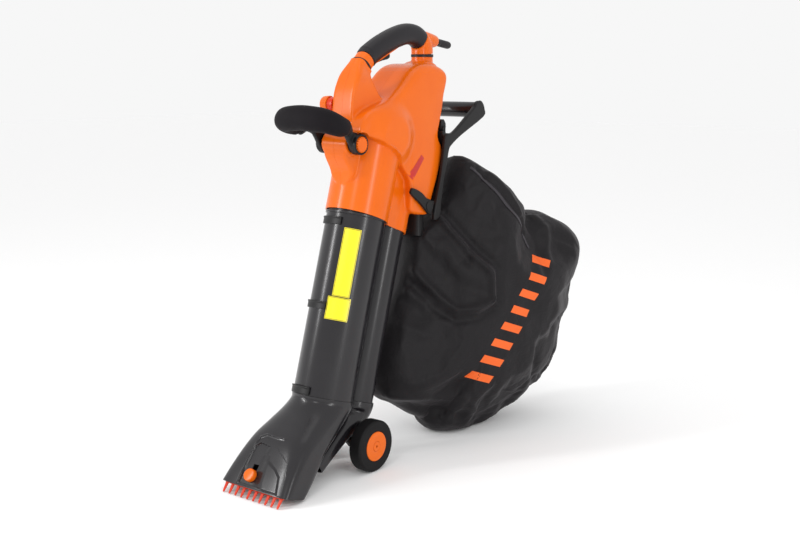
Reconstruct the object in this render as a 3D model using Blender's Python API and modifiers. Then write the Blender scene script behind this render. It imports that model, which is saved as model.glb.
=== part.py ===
# Leaf blower vacuum: twin tubes on wheels, orange motor housing, two handles and a cloth bag.
# Metres, +Z up. The nozzle points to -Y and the user's left is +X.
# Everything hangs on the empty "machine", whose own origin is on the ground below the axle.

import math

import bmesh
import bpy
from mathutils import Vector

# Fits
seat_gap = 0.0003
running_gap = 0.0005

# Stance
lean_angle = math.radians(17.0)
axle_y = 0.2060
axle_height = 0.0550

# Twin tubes
suction_radius = 0.0630
suction_wall = 0.0028
blower_radius = 0.0400
blower_wall = 0.0025
tube_gap = 0.0020
tube_spacing = suction_radius + blower_radius + tube_gap
tube_length = 0.3970
suction_foot_y = -0.0620
suction_foot_z = 0.1640
socket_depth = 0.0120
clip_margin = 0.0240
channel_wall = 0.0042
sleeve_web_half_width = 0.0240

# Nozzle and outlet duct
nozzle_wall = 0.0030
nozzle_collar_wall = 0.0032
mouth_half_width = 0.0870
mouth_half_depth = 0.0346
duct_wall = 0.0025
skid_half_width = 0.0550
skid_depth = 0.0140
skid_height = 0.0080

# Rake
rake_half_width = 0.0770
rake_thickness = 0.0026
rake_depth = 0.0300
rake_offset = 0.0085
rake_tongue_half_width = 0.0080
tooth_count = 10
tooth_width = 0.0070
tooth_tip_width = 0.0035
button_radius = 0.0080
button_height = 0.0060
slider_travel = 0.0180
slider_x = -0.0170
slider_up = 0.0260
slot_half_width = 0.0052
slot_end_gap = 0.0010

# Wheels
tyre_radius = 0.0550
tyre_width = 0.0320
hub_radius = 0.0315
hub_inset = 0.0025
wheel_inner_x = 0.0610
axle_radius = 0.0050
cap_radius = 0.0105
cap_width = 0.0030
bracket_half_width = 0.0420

# Motor housing
housing_half_width = 0.0620
housing_wall = 0.0030
housing_middle = (0.160, 0.700)
rib_half_width = 0.0360
neck_half_width = 0.0280
boss_radius = 0.0240
boss_half_width = 0.0330
dome_radius = 0.0780
dome_height = 0.0120
vent_radius = 0.0400
screw_head_radius = 0.0040
screw_shank_radius = 0.0018
screw_post_radius = 0.0052

# Fan and motor
fan_axis = (0.095, 0.697)
fan_radius = 0.0500
fan_hub_radius = 0.0130
fan_ring_gap = 0.0025
fan_ring_wall = 0.0030
blade_count = 8
blade_width = 0.0200
shaft_radius = 0.0050
bearing_radius = 0.0110
bearing_width = 0.0070
armature_radius = 0.0210
stator_radius = 0.0335
motor_length = 0.0260
motor_cup_wall = 0.0025

# Top handle
grip_half_depth = 0.0225
grip_half_width = 0.0205
grip_wall = 0.0045
ring_thickness = 0.0030
trigger_half_width = 0.0060
inlet_radius = 0.0085
inlet_length = 0.0560
lock_radius = 0.0050

# Front handle
pivot = (0.002, 0.684)
front_handle_angle = math.radians(30.0)
arm_inner_x = 0.0380
arm_thickness = 0.0100
arm_disc_radius = 0.0215
arm_tip = (0.0268, 0.0209)
arm_tip_radius = 0.0095
arm_relief_radius = 0.0250
bar_radius = 0.0120
front_grip_radius = 0.0250
knob_radius = 0.0168
knob_width = 0.0100
right_knob_width = 0.0055
bolt_seat_share = 0.6
bolt_radius = 0.0040
ratchet_radius = 0.0180

# Speed dial
dial_centre = (0.022, 0.762)
dial_radius = 0.0165
dial_base_thickness = 0.0120
dial_width = 0.0160
dial_seat_x = 0.0285

# Selector
selector_pivot = (0.213, 0.540)
lever_thickness = 0.0080
selector_shaft_radius = 0.0040
flap_half_width = 0.0330

# Bag frame
side_plate_inner_x = 0.0660
side_plate_thickness = 0.0095
cross_tube_radius = 0.0165
cross_tube_centre = (0.395, 0.746)
latch_pivot = (0.2745, 0.7080)
latch_inner_x = 0.0450
latch_width = 0.0150
pin_radius = 0.0025

# Bag
bag_yaw = math.radians(14.0)
bag_start_y = 0.200
bag_half_thickness = 0.1150
bag_collar_wall = 0.0025

sin_lean = math.sin(lean_angle)
cos_lean = math.cos(lean_angle)
round_count = 32
fine_count = 24
small_count = 14

for old in list(bpy.data.objects):
    bpy.data.objects.remove(old)

parts = bpy.data.collections.new("leaf_blower_vacuum")
tools = bpy.data.collections.new("cutters")
bpy.context.scene.collection.children.link(parts)
bpy.context.scene.collection.children.link(tools)


def make_material(name, colour, roughness, metallic=0.0):
    made = bpy.data.materials.new(name)
    made.use_nodes = True
    shader = made.node_tree.nodes["Principled BSDF"]
    shader.inputs["Base Color"].default_value = (*colour, 1.0)
    shader.inputs["Roughness"].default_value = roughness
    shader.inputs["Metallic"].default_value = metallic
    return made


orange_plastic = make_material("orange_plastic", (0.88, 0.17, 0.014), 0.38)
black_plastic = make_material("black_plastic", (0.022, 0.021, 0.023), 0.42)
tube_plastic = make_material("tube_plastic", (0.045, 0.040, 0.044), 0.35)
soft_rubber = make_material("soft_rubber", (0.015, 0.014, 0.016), 0.70)
red_plastic = make_material("red_plastic", (0.75, 0.05, 0.02), 0.40)
steel = make_material("steel", (0.56, 0.56, 0.58), 0.30, 1.0)
copper = make_material("copper", (0.80, 0.33, 0.16), 0.35, 1.0)
bag_cloth = make_material("bag_cloth", (0.020, 0.018, 0.020), 0.85)

machine = bpy.data.objects.new("machine", None)
machine.location = (0.0, axle_y, 0.0)
parts.objects.link(machine)


def mm(*pairs):
    return [(y / 1000.0, z / 1000.0) for y, z in pairs]


def on_tube(along, forward):
    """A point (y, z) that far up the suction tube's axis from its foot, and that far in front of it."""
    return (
        suction_foot_y + along * sin_lean - forward * cos_lean,
        suction_foot_z + along * cos_lean + forward * sin_lean,
    )


tube_facing = (-cos_lean, sin_lean)


def section(centre, facing, half_width, half_depth, squareness=2.0, count=round_count):
    """A ring across X and the facing direction: an ellipse at squareness 2, boxier above it."""
    ring = []
    for step in range(count):
        angle = 2.0 * math.pi * (step + 0.5) / count
        across = math.copysign(abs(math.cos(angle)) ** (2.0 / squareness), math.cos(angle)) * half_width
        deep = math.copysign(abs(math.sin(angle)) ** (2.0 / squareness), math.sin(angle)) * half_depth
        ring.append(Vector((across, centre[0] + facing[0] * deep, centre[1] + facing[1] * deep)))
    return ring


def side_ring(x, centre, radius, count=round_count):
    """A circle that faces along X."""
    return [
        Vector((
            x,
            centre[0] + radius * math.cos(2.0 * math.pi * step / count),
            centre[1] + radius * math.sin(2.0 * math.pi * step / count),
        ))
        for step in range(count)
    ]


def flat_ring(x, outline):
    return [Vector((x, y, z)) for y, z in outline]


def place(name, mesh, material, tool):
    made = bpy.data.objects.new(name, mesh)
    made.parent = machine
    (tools if tool else parts).objects.link(made)
    if tool:
        made.hide_render = True
        made.display_type = "WIRE"
    mesh.materials.append(material)
    return made


def loft(name, rings, material=black_plastic, tool=False, closed=False, split=True):
    """Skin over rings of equal count, with flat caps, or joined end to start where it is closed."""
    work = bmesh.new()
    loops = [[work.verts.new(point) for point in ring] for ring in rings]
    pairs = list(zip(loops, loops[1:]))
    if closed:
        pairs.append((loops[-1], loops[0]))
    for lower, upper in pairs:
        for here in range(len(lower)):
            after = (here + 1) % len(lower)
            work.faces.new((lower[here], lower[after], upper[after], upper[here]))
    if not closed:
        work.faces.new(loops[0])
        work.faces.new(loops[-1])
    bmesh.ops.recalc_face_normals(work, faces=work.faces)
    if split:
        bmesh.ops.triangulate(work, faces=work.faces)
    mesh = bpy.data.meshes.new(name)
    work.to_mesh(mesh)
    work.free()
    mesh.shade_smooth()
    mesh.set_sharp_from_angle(angle=math.radians(35.0))
    return place(name, mesh, material, tool)


def prism(name, outline, low_x, high_x, material=black_plastic, tool=False, rounding=0.0, segments=2):
    """A side outline given in (y, z), drawn out along X, with rounded edges."""
    rings = [flat_ring(low_x, outline), flat_ring(high_x, outline)]
    made = loft(name, rings, material, tool, split=rounding == 0.0)
    if rounding > 0.0:
        round_edges(made, rounding, segments)
    return made


def round_edges(made, width, segments=2, angle=40.0):
    bevel = made.modifiers.new("rounding", "BEVEL")
    bevel.width = width
    bevel.segments = segments
    bevel.limit_method = "ANGLE"
    bevel.angle_limit = math.radians(angle)
    made.modifiers.new("triangles", "TRIANGULATE")


def disc(name, centre, radius, low_x, high_x, material=black_plastic, tool=False, count=round_count):
    rings = [side_ring(low_x, centre, radius, count), side_ring(high_x, centre, radius, count)]
    return loft(name, rings, material, tool)


def washer(name, centre, profile, material=black_plastic, tool=False, count=round_count):
    """A turned ring about an axis along X, from a closed profile of (x, radius)."""
    return loft(name, [side_ring(x, centre, radius, count) for x, radius in profile], material, tool, True)


def turned(name, centre, profile, material=black_plastic, tool=False, count=round_count):
    """A turned solid about an axis along X, from an open profile of (x, radius)."""
    return loft(name, [side_ring(x, centre, radius, count) for x, radius in profile], material, tool)


def block(name, low, high, material=black_plastic, tool=False, rounding=0.0):
    outline = [(low[1], low[2]), (high[1], low[2]), (high[1], high[2]), (low[1], high[2])]
    return prism(name, outline, low[0], high[0], material, tool, rounding)


# Long chains of cuts over crowned surfaces, where the exact solver leaves open edges.
many_cuts = ("housing_form", "housing_hollow", "body_left_shell", "body_right_shell", "nozzle", "blower_duct",
             "impeller", "dome_form", "dome_hollow", "fan_ring")


def combine(target, tool, operation):
    step = target.modifiers.new(tool.name, "BOOLEAN")
    step.operation = operation
    step.solver = "MANIFOLD" if target.name in many_cuts else "EXACT"
    step.object = tool


def join(target, *others):
    for other in others:
        combine(target, other, "UNION")


def cut(target, *others):
    for other in others:
        combine(target, other, "DIFFERENCE")


def inset_outline(outline, distance):
    """The outline moved inwards by a wall, each corner along its own bisector."""
    area = sum(a[0] * b[1] - b[0] * a[1] for a, b in zip(outline, outline[1:] + outline[:1]))
    turn = 1.0 if area > 0.0 else -1.0
    moved = []
    for index, here in enumerate(outline):
        before = Vector(outline[index - 1])
        after = Vector(outline[(index + 1) % len(outline)])
        here = Vector(here)
        incoming = (here - before).normalized()
        outgoing = (after - here).normalized()
        normal_in = Vector((-incoming.y, incoming.x)) * turn
        normal_out = Vector((-outgoing.y, outgoing.x)) * turn
        bisector = (normal_in + normal_out).normalized()
        shift = distance / max(0.5, bisector.dot(normal_in))
        moved.append(tuple(here + bisector * shift))
    return moved


fine_crown = ((0.60, 1.0), (0.82, 0.975), (0.94, 0.92), (0.99, 0.84), (1.0, 0.70))
plain_crown = ((0.62, 1.0), (0.90, 0.94), (1.0, 0.74))


def crowned(name, outline, middle, half_width, crown=fine_crown):
    """A flat-sided body whose two sides crown: each ring is the outline drawn in towards the middle."""
    rings = []
    for share, scale in [(-a, b) for a, b in reversed(crown)] + list(crown):
        drawn = [
            (middle[0] + (y - middle[0]) * scale, middle[1] + (z - middle[1]) * scale) for y, z in outline
        ]
        rings.append(flat_ring(share * half_width, drawn))
    return loft(name, rings, orange_plastic, tool=True)


def capsule(start, start_radius, end, end_radius, count=9):
    """The outline round two circles of unlike size, as (y, z)."""
    away = math.atan2(end[1] - start[1], end[0] - start[0])
    outline = []
    quarter = math.pi / 2
    for centre, radius, first in ((end, end_radius, away - quarter), (start, start_radius, away + quarter)):
        for step in range(count):
            angle = first + math.pi * step / (count - 1)
            outline.append((centre[0] + radius * math.cos(angle), centre[1] + radius * math.sin(angle)))
    return outline


# Tubes

def make_tubes():
    def pipe(name, forward, radius, wall, low, high):
        rings = [
            section(on_tube(low, forward), tube_facing, radius, radius),
            section(on_tube(high, forward), tube_facing, radius, radius),
            section(on_tube(high, forward), tube_facing, radius - wall, radius - wall),
            section(on_tube(low, forward), tube_facing, radius - wall, radius - wall),
        ]
        return loft(name, rings, tube_plastic, closed=True)

    pipe("suction_tube", 0.0, suction_radius, suction_wall, 0.0, tube_length)
    pipe("blower_tube", -tube_spacing, blower_radius, blower_wall, 0.0, tube_length)
    # Three flat snap clips stand on the suction tube's right front.
    clip_angle = math.radians(38.0)
    ahead = math.cos(clip_angle)
    outward = Vector((-math.sin(clip_angle), -ahead * cos_lean, ahead * sin_lean))
    upward = Vector((0.0, sin_lean, cos_lean))
    sideways = outward.cross(upward)
    high = tube_length - socket_depth - clip_margin
    low = socket_depth + clip_margin
    for name, along in (("upper_clip", high), ("middle_clip", (high + low) / 2), ("lower_clip", low)):
        spot = on_tube(along, 0.0)
        base = Vector((0.0, spot[0], spot[1])) + outward * (suction_radius + seat_gap)
        rings = []
        for height, draw in ((0.0, 1.0), (0.0032, 1.0), (0.0045, 0.82)):
            rings.append([
                base + outward * height + sideways * 0.013 * a * draw + upward * 0.008 * b * draw
                for a, b in ((-1, -1), (1, -1), (1, 1), (-1, 1))
            ])
        loft(name, rings, black_plastic)


# Nozzle, duct and rake

nozzle_sections = (
    (mm((-93, 146))[0], (-0.935, 0.355), 0.0670, 0.0560, 2.3),
    (mm((-129, 118))[0], (-0.900, 0.436), 0.0710, 0.0500, 2.8),
    (mm((-163, 91))[0], (-0.872, 0.490), 0.0760, 0.0460, 3.4),
    (mm((-205, 48))[0], (-0.800, 0.600), 0.0820, 0.0410, 5.0),
)
mouth_centre = (-0.2430, 0.0125)
mouth_facing = (-0.953, 0.303)
duct_sections = (
    (mm((30, 113))[0], (-0.890, 0.450), 0.0410, 0.0375, 2.0),
    (mm((2, 98))[0], (-0.710, 0.704), 0.0440, 0.0310, 2.4),
    (mm((-52, 76))[0], (-0.620, 0.785), 0.0490, 0.0215, 3.2),
    (mm((-122, 36))[0], (-0.560, 0.828), 0.0520, 0.0165, 4.0),
)


def shell_rings(specs, wall):
    outer = [section(c, f, w, d, s) for c, f, w, d, s in specs]
    inner = [section(c, f, w - wall, d - wall, s) for c, f, w, d, s in reversed(specs)]
    return outer + inner


def nozzle_specs(extra=0.0):
    collar = suction_radius + seat_gap + nozzle_collar_wall
    top = (on_tube(socket_depth, 0.0), tube_facing, collar, collar, 2.0)
    under = (on_tube(-seat_gap, 0.0), tube_facing, collar, collar, 2.0)
    mouth = (mouth_centre, mouth_facing, mouth_half_width, mouth_half_depth, 8.0)
    return [(c, f, w + extra, d + extra, s) for c, f, w, d, s in (top, under, *nozzle_sections, mouth)]


def duct_specs(extra=0.0):
    collar = blower_radius + seat_gap + duct_wall
    top = (on_tube(socket_depth, -tube_spacing), tube_facing, collar, collar, 2.0)
    under = (on_tube(-seat_gap, -tube_spacing), tube_facing, collar, collar, 2.0)
    return [(c, f, w + extra, d + extra, s) for c, f, w, d, s in (top, under, *duct_sections)]


mouth_front = (
    mouth_centre[0] + mouth_facing[0] * mouth_half_depth,
    mouth_centre[1] + mouth_facing[1] * mouth_half_depth,
)
front_slope = Vector((0.600, 0.800))
front_inward = Vector((0.800, -0.600))


def on_front(up, inward):
    """A point (y, z) up the nozzle's front wall from the mouth, and that far behind its outer face."""
    spot = Vector(mouth_front) + front_slope * up + front_inward * inward
    return (spot.x, spot.y)


def make_nozzle():
    collar_wall = nozzle_collar_wall
    rings = shell_rings(nozzle_specs(), nozzle_wall)
    nozzle = loft("nozzle", rings, tube_plastic, closed=True)
    bore = suction_radius + seat_gap
    socket = loft("nozzle_socket", [
        section(on_tube(-seat_gap, 0.0), tube_facing, bore, bore),
        section(on_tube(socket_depth + collar_wall, 0.0), tube_facing, bore, bore),
    ], tool=True)
    lip_y = mouth_centre[0] - mouth_facing[0] * mouth_half_depth
    skid = block(
        "nozzle_skid",
        (-skid_half_width, lip_y - 0.002, 0.0),
        (skid_half_width, lip_y - 0.002 + skid_depth, skid_height),
        tool=True,
        rounding=0.001,
    )
    inside = loft("nozzle_inside", [section(c, f, w - nozzle_wall, d - nozzle_wall, s)
                                    for c, f, w, d, s in nozzle_specs()[2:]], tool=True)
    cut(skid, inside)
    slot_low = slider_up - slot_half_width - slot_end_gap
    slot_high = slider_up + slider_travel + slot_half_width + slot_end_gap
    slot = prism(
        "slider_slot",
        [on_front(up, inward) for up, inward in (
            (slot_low, -0.02), (slot_high, -0.02), (slot_high, 0.02), (slot_low, 0.02))],
        slider_x - slot_half_width,
        slider_x + slot_half_width,
        tool=True,
    )
    clearance = blower_radius + seat_gap
    beside = loft("blower_tube_clearance", [
        section(on_tube(along, -tube_spacing), tube_facing, clearance, clearance)
        for along in (-seat_gap, 0.03)
    ], tool=True)
    join(nozzle, skid)
    cut(nozzle, socket, slot, beside)


def make_duct():
    duct = loft("blower_duct", shell_rings(duct_specs(), duct_wall), tube_plastic, closed=True)
    bore = blower_radius + seat_gap
    bore_of_nozzle = suction_radius + nozzle_collar_wall + 2 * seat_gap
    socket = loft("duct_socket", [
        section(on_tube(-seat_gap, -tube_spacing), tube_facing, bore, bore),
        section(on_tube(socket_depth + duct_wall, -tube_spacing), tube_facing, bore, bore),
    ], tool=True)
    beside = loft("nozzle_clearance", [section(*spec) for spec in nozzle_specs(seat_gap)[:3]], tool=True)
    over = loft("nozzle_top_clearance", [
        section(on_tube(0.0, 0.0), tube_facing, bore_of_nozzle, bore_of_nozzle),
        section(on_tube(socket_depth + 0.01, 0.0), tube_facing, bore_of_nozzle, bore_of_nozzle),
    ], tool=True)
    cut(duct, socket, beside, over)


def make_rake():
    def plate_ring(inward):
        ring = []
        pitch = 2.0 * rake_half_width / tooth_count
        spot = on_front(0.0, inward)
        reach = (spot[1] - 0.0006) / front_slope.y
        ring.append((rake_half_width - 0.006, rake_depth))
        ring.append((rake_half_width, 0.004))
        for index in range(tooth_count):
            middle = rake_half_width - pitch * (index + 0.5)
            ring.append((middle + tooth_width / 2, 0.0))
            ring.append((middle + tooth_tip_width / 2, -reach))
            ring.append((middle - tooth_tip_width / 2, -reach))
            ring.append((middle - tooth_width / 2, 0.0))
        ring.append((-rake_half_width, 0.004))
        ring.append((-rake_half_width + 0.006, rake_depth))
        tongue_end = slider_up + button_radius
        ring.append((slider_x - rake_tongue_half_width, rake_depth))
        ring.append((slider_x - rake_tongue_half_width, tongue_end))
        ring.append((slider_x + rake_tongue_half_width, tongue_end))
        ring.append((slider_x + rake_tongue_half_width, rake_depth))
        points = []
        for x, up in ring:
            y, z = on_front(up, inward)
            points.append(Vector((x, y, z)))
        return points

    loft("rake_comb", [plate_ring(rake_offset), plate_ring(rake_offset + rake_thickness)], red_plastic)
    # The button stands on a stem that passes the slot and rests on the comb's tongue.
    stem = slot_half_width - running_gap

    def ring_at(inward, radius):
        centre = on_front(slider_up, inward)
        ring = section(centre, tuple(front_slope), radius, radius, 2.0, 24)
        return [point + Vector((slider_x, 0.0, 0.0)) for point in ring]

    loft("rake_button", [
        ring_at(rake_offset - seat_gap, stem),
        ring_at(-running_gap - 0.001, stem),
        ring_at(-running_gap - 0.0011, button_radius),
        ring_at(-button_height + 0.0015, button_radius),
        ring_at(-button_height, button_radius - 0.0015),
    ], orange_plastic)


# Wheels

def make_wheels():
    axle_spot = (0.0, axle_height)
    outer_x = wheel_inner_x + tyre_width
    reach = outer_x + cap_width - hub_inset
    disc("axle", axle_spot, axle_radius, -reach, reach, steel, count=16)
    lip = 0.004
    for side, hand in ((1, "left"), (-1, "right")):
        bore = axle_radius + seat_gap
        tyre = [
            (wheel_inner_x, hub_radius),
            (wheel_inner_x + tyre_width, hub_radius),
            (outer_x, tyre_radius - 0.011),
            (outer_x - 0.0015, tyre_radius - lip),
            (outer_x - 0.0060, tyre_radius),
            (wheel_inner_x + 0.0060, tyre_radius),
            (wheel_inner_x + 0.0015, tyre_radius - lip),
            (wheel_inner_x, tyre_radius - 0.011),
        ]
        washer(f"{hand}_tyre", axle_spot, [(side * x, r) for x, r in tyre], soft_rubber)
        rim = hub_radius - seat_gap
        low, high = wheel_inner_x + hub_inset, outer_x - hub_inset
        hub = [(low, bore), (high, bore), (high, bore + 0.006), (high - 0.003, bore + 0.008),
               (high - 0.003, rim - 0.006), (high, rim - 0.003), (high, rim), (low, rim)]
        washer(f"{hand}_hub", axle_spot, [(side * x, r) for x, r in hub], orange_plastic, count=fine_count)
        start = reach + seat_gap
        cap = [(start - cap_width, axle_radius + seat_gap), (start, axle_radius + seat_gap),
               (start, cap_radius * 0.8), (start - 0.001, cap_radius), (start - cap_width, cap_radius)]
        shift = high + seat_gap - (start - cap_width)
        washer(f"{hand}_cap", axle_spot, [(side * (x + shift), r) for x, r in cap], orange_plastic,
               count=small_count)
    bracket = prism(
        "axle_bracket",
        mm((-32, 64), (-22, 90), (30, 100), (44, 84), (14, 44), (-14, 44)),
        -bracket_half_width,
        bracket_half_width,
        tube_plastic,
        rounding=0.003,
        segments=1,
    )
    over = loft("bracket_clearance", [section(c, f, w + seat_gap, d + seat_gap, s)
                                      for c, f, w, d, s in duct_specs()], tool=True)
    window = block("bracket_window", (-0.030, -0.060, 0.020), (0.030, 0.060, 0.092), tool=True)
    axle_bore = disc("axle_bore", axle_spot, axle_radius + seat_gap, -0.2, 0.2, tool=True, count=16)
    bridge = block("bracket_bridge", (-0.040, -0.012, 0.0625), (0.040, 0.030, 0.0850), tool=True)
    cut(bracket, window)
    join(bracket, bridge)
    cut(bracket, over, axle_bore)


# Motor housing

housing_outline = mm(
    (159, 597), (143, 619), (124, 639), (103, 657), (80, 673), (54, 687), (26, 698), (0, 704), (-3, 712),
    (4, 727), (20, 744), (52, 759), (99, 773), (141, 800), (189, 838), (238, 847), (282, 836),
    (293, 815), (280, 777), (276, 755), (266, 722), (257, 690), (273, 662), (270, 640), (258, 600),
    (238, 548), (229, 521),
    (167, 529), (160, 560),
)
rib_outline = mm(
    (96, 740), (112, 788), (128, 807), (150, 823), (174, 836), (198, 845), (227, 850), (250, 853), (252, 862),
    (302, 862), (304, 838), (286, 800), (240, 740),
)
neck_outline = mm(
    (1, 640), (3, 668), (16, 779), (24, 804), (37, 830), (50, 853), (79, 824), (82, 810), (88, 796),
    (98, 781), (114, 762), (120, 700), (60, 640),
)
rib_middle = (0.220, 0.790)
sleeve_top = 0.560
tongue_top = 0.690
tongue_half_width = 0.0280
tongue_middle_z = 0.632


def flare_neck(made):
    """The neck is narrow in front and widens towards the housing."""
    for vertex in made.data.vertices:
        vertex.co.x *= 1.0 + 2.2 * max(0.0, vertex.co.y - 0.010)


def make_tongue():
    """The raised panel under the front handle: straight sides and a round foot, facing forward."""
    half = tongue_half_width
    outline = [(-half, tongue_top)]
    steps = 9
    for step in range(steps):
        angle = math.pi + math.pi * step / (steps - 1)
        outline.append((half * math.cos(angle), tongue_middle_z + half * math.sin(angle)))
    outline.append((half, tongue_top))
    rings = [[Vector((x, y, z)) for x, z in outline] for y in (0.0015, 0.060)]
    made = loft("tongue_form", rings, orange_plastic, tool=True, split=False)
    round_edges(made, 0.005, 2)
    return made


def twin_channel(name, low, high):
    """The sleeve round both tubes: two circles joined by a web as one outline, drawn out along the tubes."""
    front = suction_radius + seat_gap + channel_wall
    rear = blower_radius + seat_gap + channel_wall
    front_open = math.asin(sleeve_web_half_width / front)
    rear_open = math.asin(sleeve_web_half_width / rear)
    outline = []
    steps = 22
    for step in range(steps + 1):
        angle = front_open + (2.0 * math.pi - 2.0 * front_open) * step / steps
        outline.append((front * math.sin(angle), -front * math.cos(angle)))
    steps = 13
    for step in range(steps + 1):
        angle = math.pi + rear_open + (2.0 * math.pi - 2.0 * rear_open) * step / steps
        outline.append((rear * math.sin(angle), -tube_spacing - rear * math.cos(angle)))
    rings = []
    for along in (low, high):
        ring = []
        for across, forward in outline:
            y, z = on_tube(along, forward)
            ring.append(Vector((across, y, z)))
        rings.append(ring)
    return loft(name, rings, orange_plastic, tool=True)


def hollow_channel(name, forward, radius, top):
    low = on_tube(tube_length - socket_depth - 0.02, forward)
    high = on_tube(top, forward)
    return loft(name, [section(low, tube_facing, radius, radius), section(high, tube_facing, radius, radius)],
                tool=True)


screw_spots = mm((258, 818), (250, 655), (214, 740))


def make_housing():
    inner_outline = inset_outline(housing_outline, housing_wall)
    form = crowned("housing_form", housing_outline, housing_middle, housing_half_width)
    rib = crowned("rib_form", rib_outline, rib_middle, rib_half_width)
    neck = prism("neck_form", neck_outline, -neck_half_width, neck_half_width, tool=True, rounding=0.005)
    flare_neck(neck)
    boss = disc("boss_form", pivot, boss_radius, -boss_half_width, boss_half_width, tool=True)
    tongue = make_tongue()
    sleeve = twin_channel("tube_sleeve_form", tube_length - socket_depth, sleeve_top)
    flat = dome_radius * 0.55
    dome = turned("dome_form", fan_axis, [
        (0.030, dome_radius),
        (housing_half_width - 0.008, dome_radius),
        (housing_half_width + dome_height * 0.30, dome_radius * 0.93),
        (housing_half_width + dome_height * 0.70, dome_radius * 0.78),
        (housing_half_width + dome_height * 0.93, flat),
        (housing_half_width + dome_height, flat * 0.5),
    ], tool=True)
    guard = crowned("dome_limit", housing_outline, housing_middle, housing_half_width * 1.6)
    combine(dome, guard, "INTERSECT")

    inner_form = crowned("housing_hollow", inner_outline, housing_middle, housing_half_width - housing_wall,
                         plain_crown)
    inner_rib = crowned("rib_hollow", inset_outline(rib_outline, housing_wall), rib_middle,
                        rib_half_width - housing_wall, plain_crown)
    inner_neck = prism("neck_hollow", inset_outline(neck_outline, 0.006), -neck_half_width + 0.006,
                       neck_half_width - 0.006, tool=True)
    inner_suction = hollow_channel("suction_channel_hollow", 0.0, suction_radius + seat_gap,
                                   sleeve_top - housing_wall)
    inner_blower = hollow_channel("blower_channel_hollow", -tube_spacing, blower_radius + seat_gap,
                                  sleeve_top - 2 * housing_wall)
    inner_dome = turned("dome_hollow", fan_axis, [
        (0.030, dome_radius * 0.90 - housing_wall),
        (housing_half_width - 0.004, dome_radius * 0.90 - housing_wall),
        (housing_half_width + dome_height * 0.55, flat),
        (housing_half_width + dome_height - housing_wall, flat * 0.5),
    ], tool=True)
    inner_guard = crowned("dome_hollow_limit", inner_outline, housing_middle, housing_half_width * 1.6)
    combine(inner_dome, inner_guard, "INTERSECT")
    join(form, rib, neck, boss, tongue, sleeve, dome)

    # Fan ring inside the left half, with a window to the suction side and one to the pressure side.
    ring_inner = fan_radius + fan_ring_gap
    ring_outer = ring_inner + fan_ring_wall
    ring = washer("fan_ring", fan_axis, [(0.0, ring_inner), (0.085, ring_inner), (0.085, ring_outer),
                                         (0.0, ring_outer)], tool=True)
    suction_window = block("suction_window", (0.0365, 0.030, 0.630), (0.0545, 0.160, 0.690), tool=True)
    outlet_window = block("outlet_window", (0.0030, 0.100, 0.600), (0.0320, 0.220, 0.705), tool=True)
    cut(ring, suction_window, outlet_window)
    bolt_sleeve = disc("bolt_sleeve", pivot, bolt_radius + 0.004, -boss_half_width - 0.01,
                       boss_half_width + 0.01, tool=True, count=small_count)
    join(inner_form, inner_rib, inner_neck, inner_suction, inner_blower, inner_dome)
    cut(inner_form, ring, bolt_sleeve)
    for index, spot in enumerate(screw_spots):
        post = disc(f"screw_post_{index + 1}", spot, screw_post_radius, -0.090, 0.090, tool=True, count=16)
        cut(inner_form, post)
    cut(form, inner_form)

    for index, spot in enumerate(screw_spots):
        recess = disc(f"screw_recess_{index + 1}", spot, screw_head_radius + seat_gap, -0.090, -0.047,
                      tool=True, count=16)
        bore = disc(f"screw_bore_{index + 1}", spot, screw_shank_radius + 0.0001, -0.090, 0.012, tool=True,
                    count=12)
        cut(form, recess, bore)

    bolt_hole = disc("bolt_hole", pivot, bolt_radius + seat_gap, -0.1, 0.1, tool=True, count=small_count)
    bearing_hole = disc("selector_hole", selector_pivot, selector_shaft_radius + seat_gap, -0.1, 0.1,
                        tool=True, count=20)
    outlet = block("bag_outlet", (-0.037, 0.2085, 0.500), (0.037, 0.2245, 0.545), tool=True)
    neck_top = neck_end_cutter()
    leg_hole = block("leg_hole", (-0.008, 0.268, 0.840), (0.008, 0.288, 0.880), tool=True)
    cut(form, bolt_hole, bearing_hole, outlet, neck_top, leg_hole)
    for side, hand in ((1, "left"), (-1, "right")):
        low, high = sorted((side * (arm_inner_x - running_gap), side * 0.1))
        relief = disc(f"{hand}_arm_relief", pivot, arm_relief_radius, low, high, tool=True)
        cut(form, relief)

    reach = 0.15
    for side, hand in ((1, "left"), (-1, "right")):
        low, high = sorted((side * seat_gap / 2, side * reach))
        half = block(f"body_{hand}_shell", (low, -0.10, 0.40), (high, 0.40, 0.95), orange_plastic)
        combine(half, form, "INTERSECT")
        if side < 0:
            vent_hole = disc("vent_hole", fan_axis, vent_radius + seat_gap, -0.10, -0.050, tool=True)
            dial_hole = disc("dial_hole", dial_centre, 0.0050, -0.10, -0.018, tool=True, count=16)
            dial_seat = disc("dial_seat", dial_centre, dial_radius + running_gap, -0.10, -dial_seat_x,
                             tool=True)
            cut(half, vent_hole, dial_hole, dial_seat)


handle_stations = (
    # y, z, slope, then the orange core's half depth and half width
    (0.0665, 0.8415, 46.0, 0.0205, 0.0200),
    (0.0760, 0.8500, 42.0, 0.0208, 0.0200),
    (0.0880, 0.8605, 38.0, 0.0212, 0.0200),
    (0.0950, 0.8655, 34.0, 0.0214, 0.0200),
    (0.1300, 0.8830, 24.0, 0.0, 0.0),
    (0.1750, 0.9000, 18.0, 0.0, 0.0),
    (0.2150, 0.9095, 7.0, 0.0, 0.0),
    (0.2450, 0.9080, -14.0, 0.0, 0.0),
    (0.2640, 0.8990, -36.0, 0.0, 0.0),
    (0.2740, 0.8880, -58.0, 0.0245, 0.0210),
    (0.2770, 0.8780, -75.0, 0.0250, 0.0215),
    (0.2780, 0.8670, -84.0, 0.0250, 0.0215),
)


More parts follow.
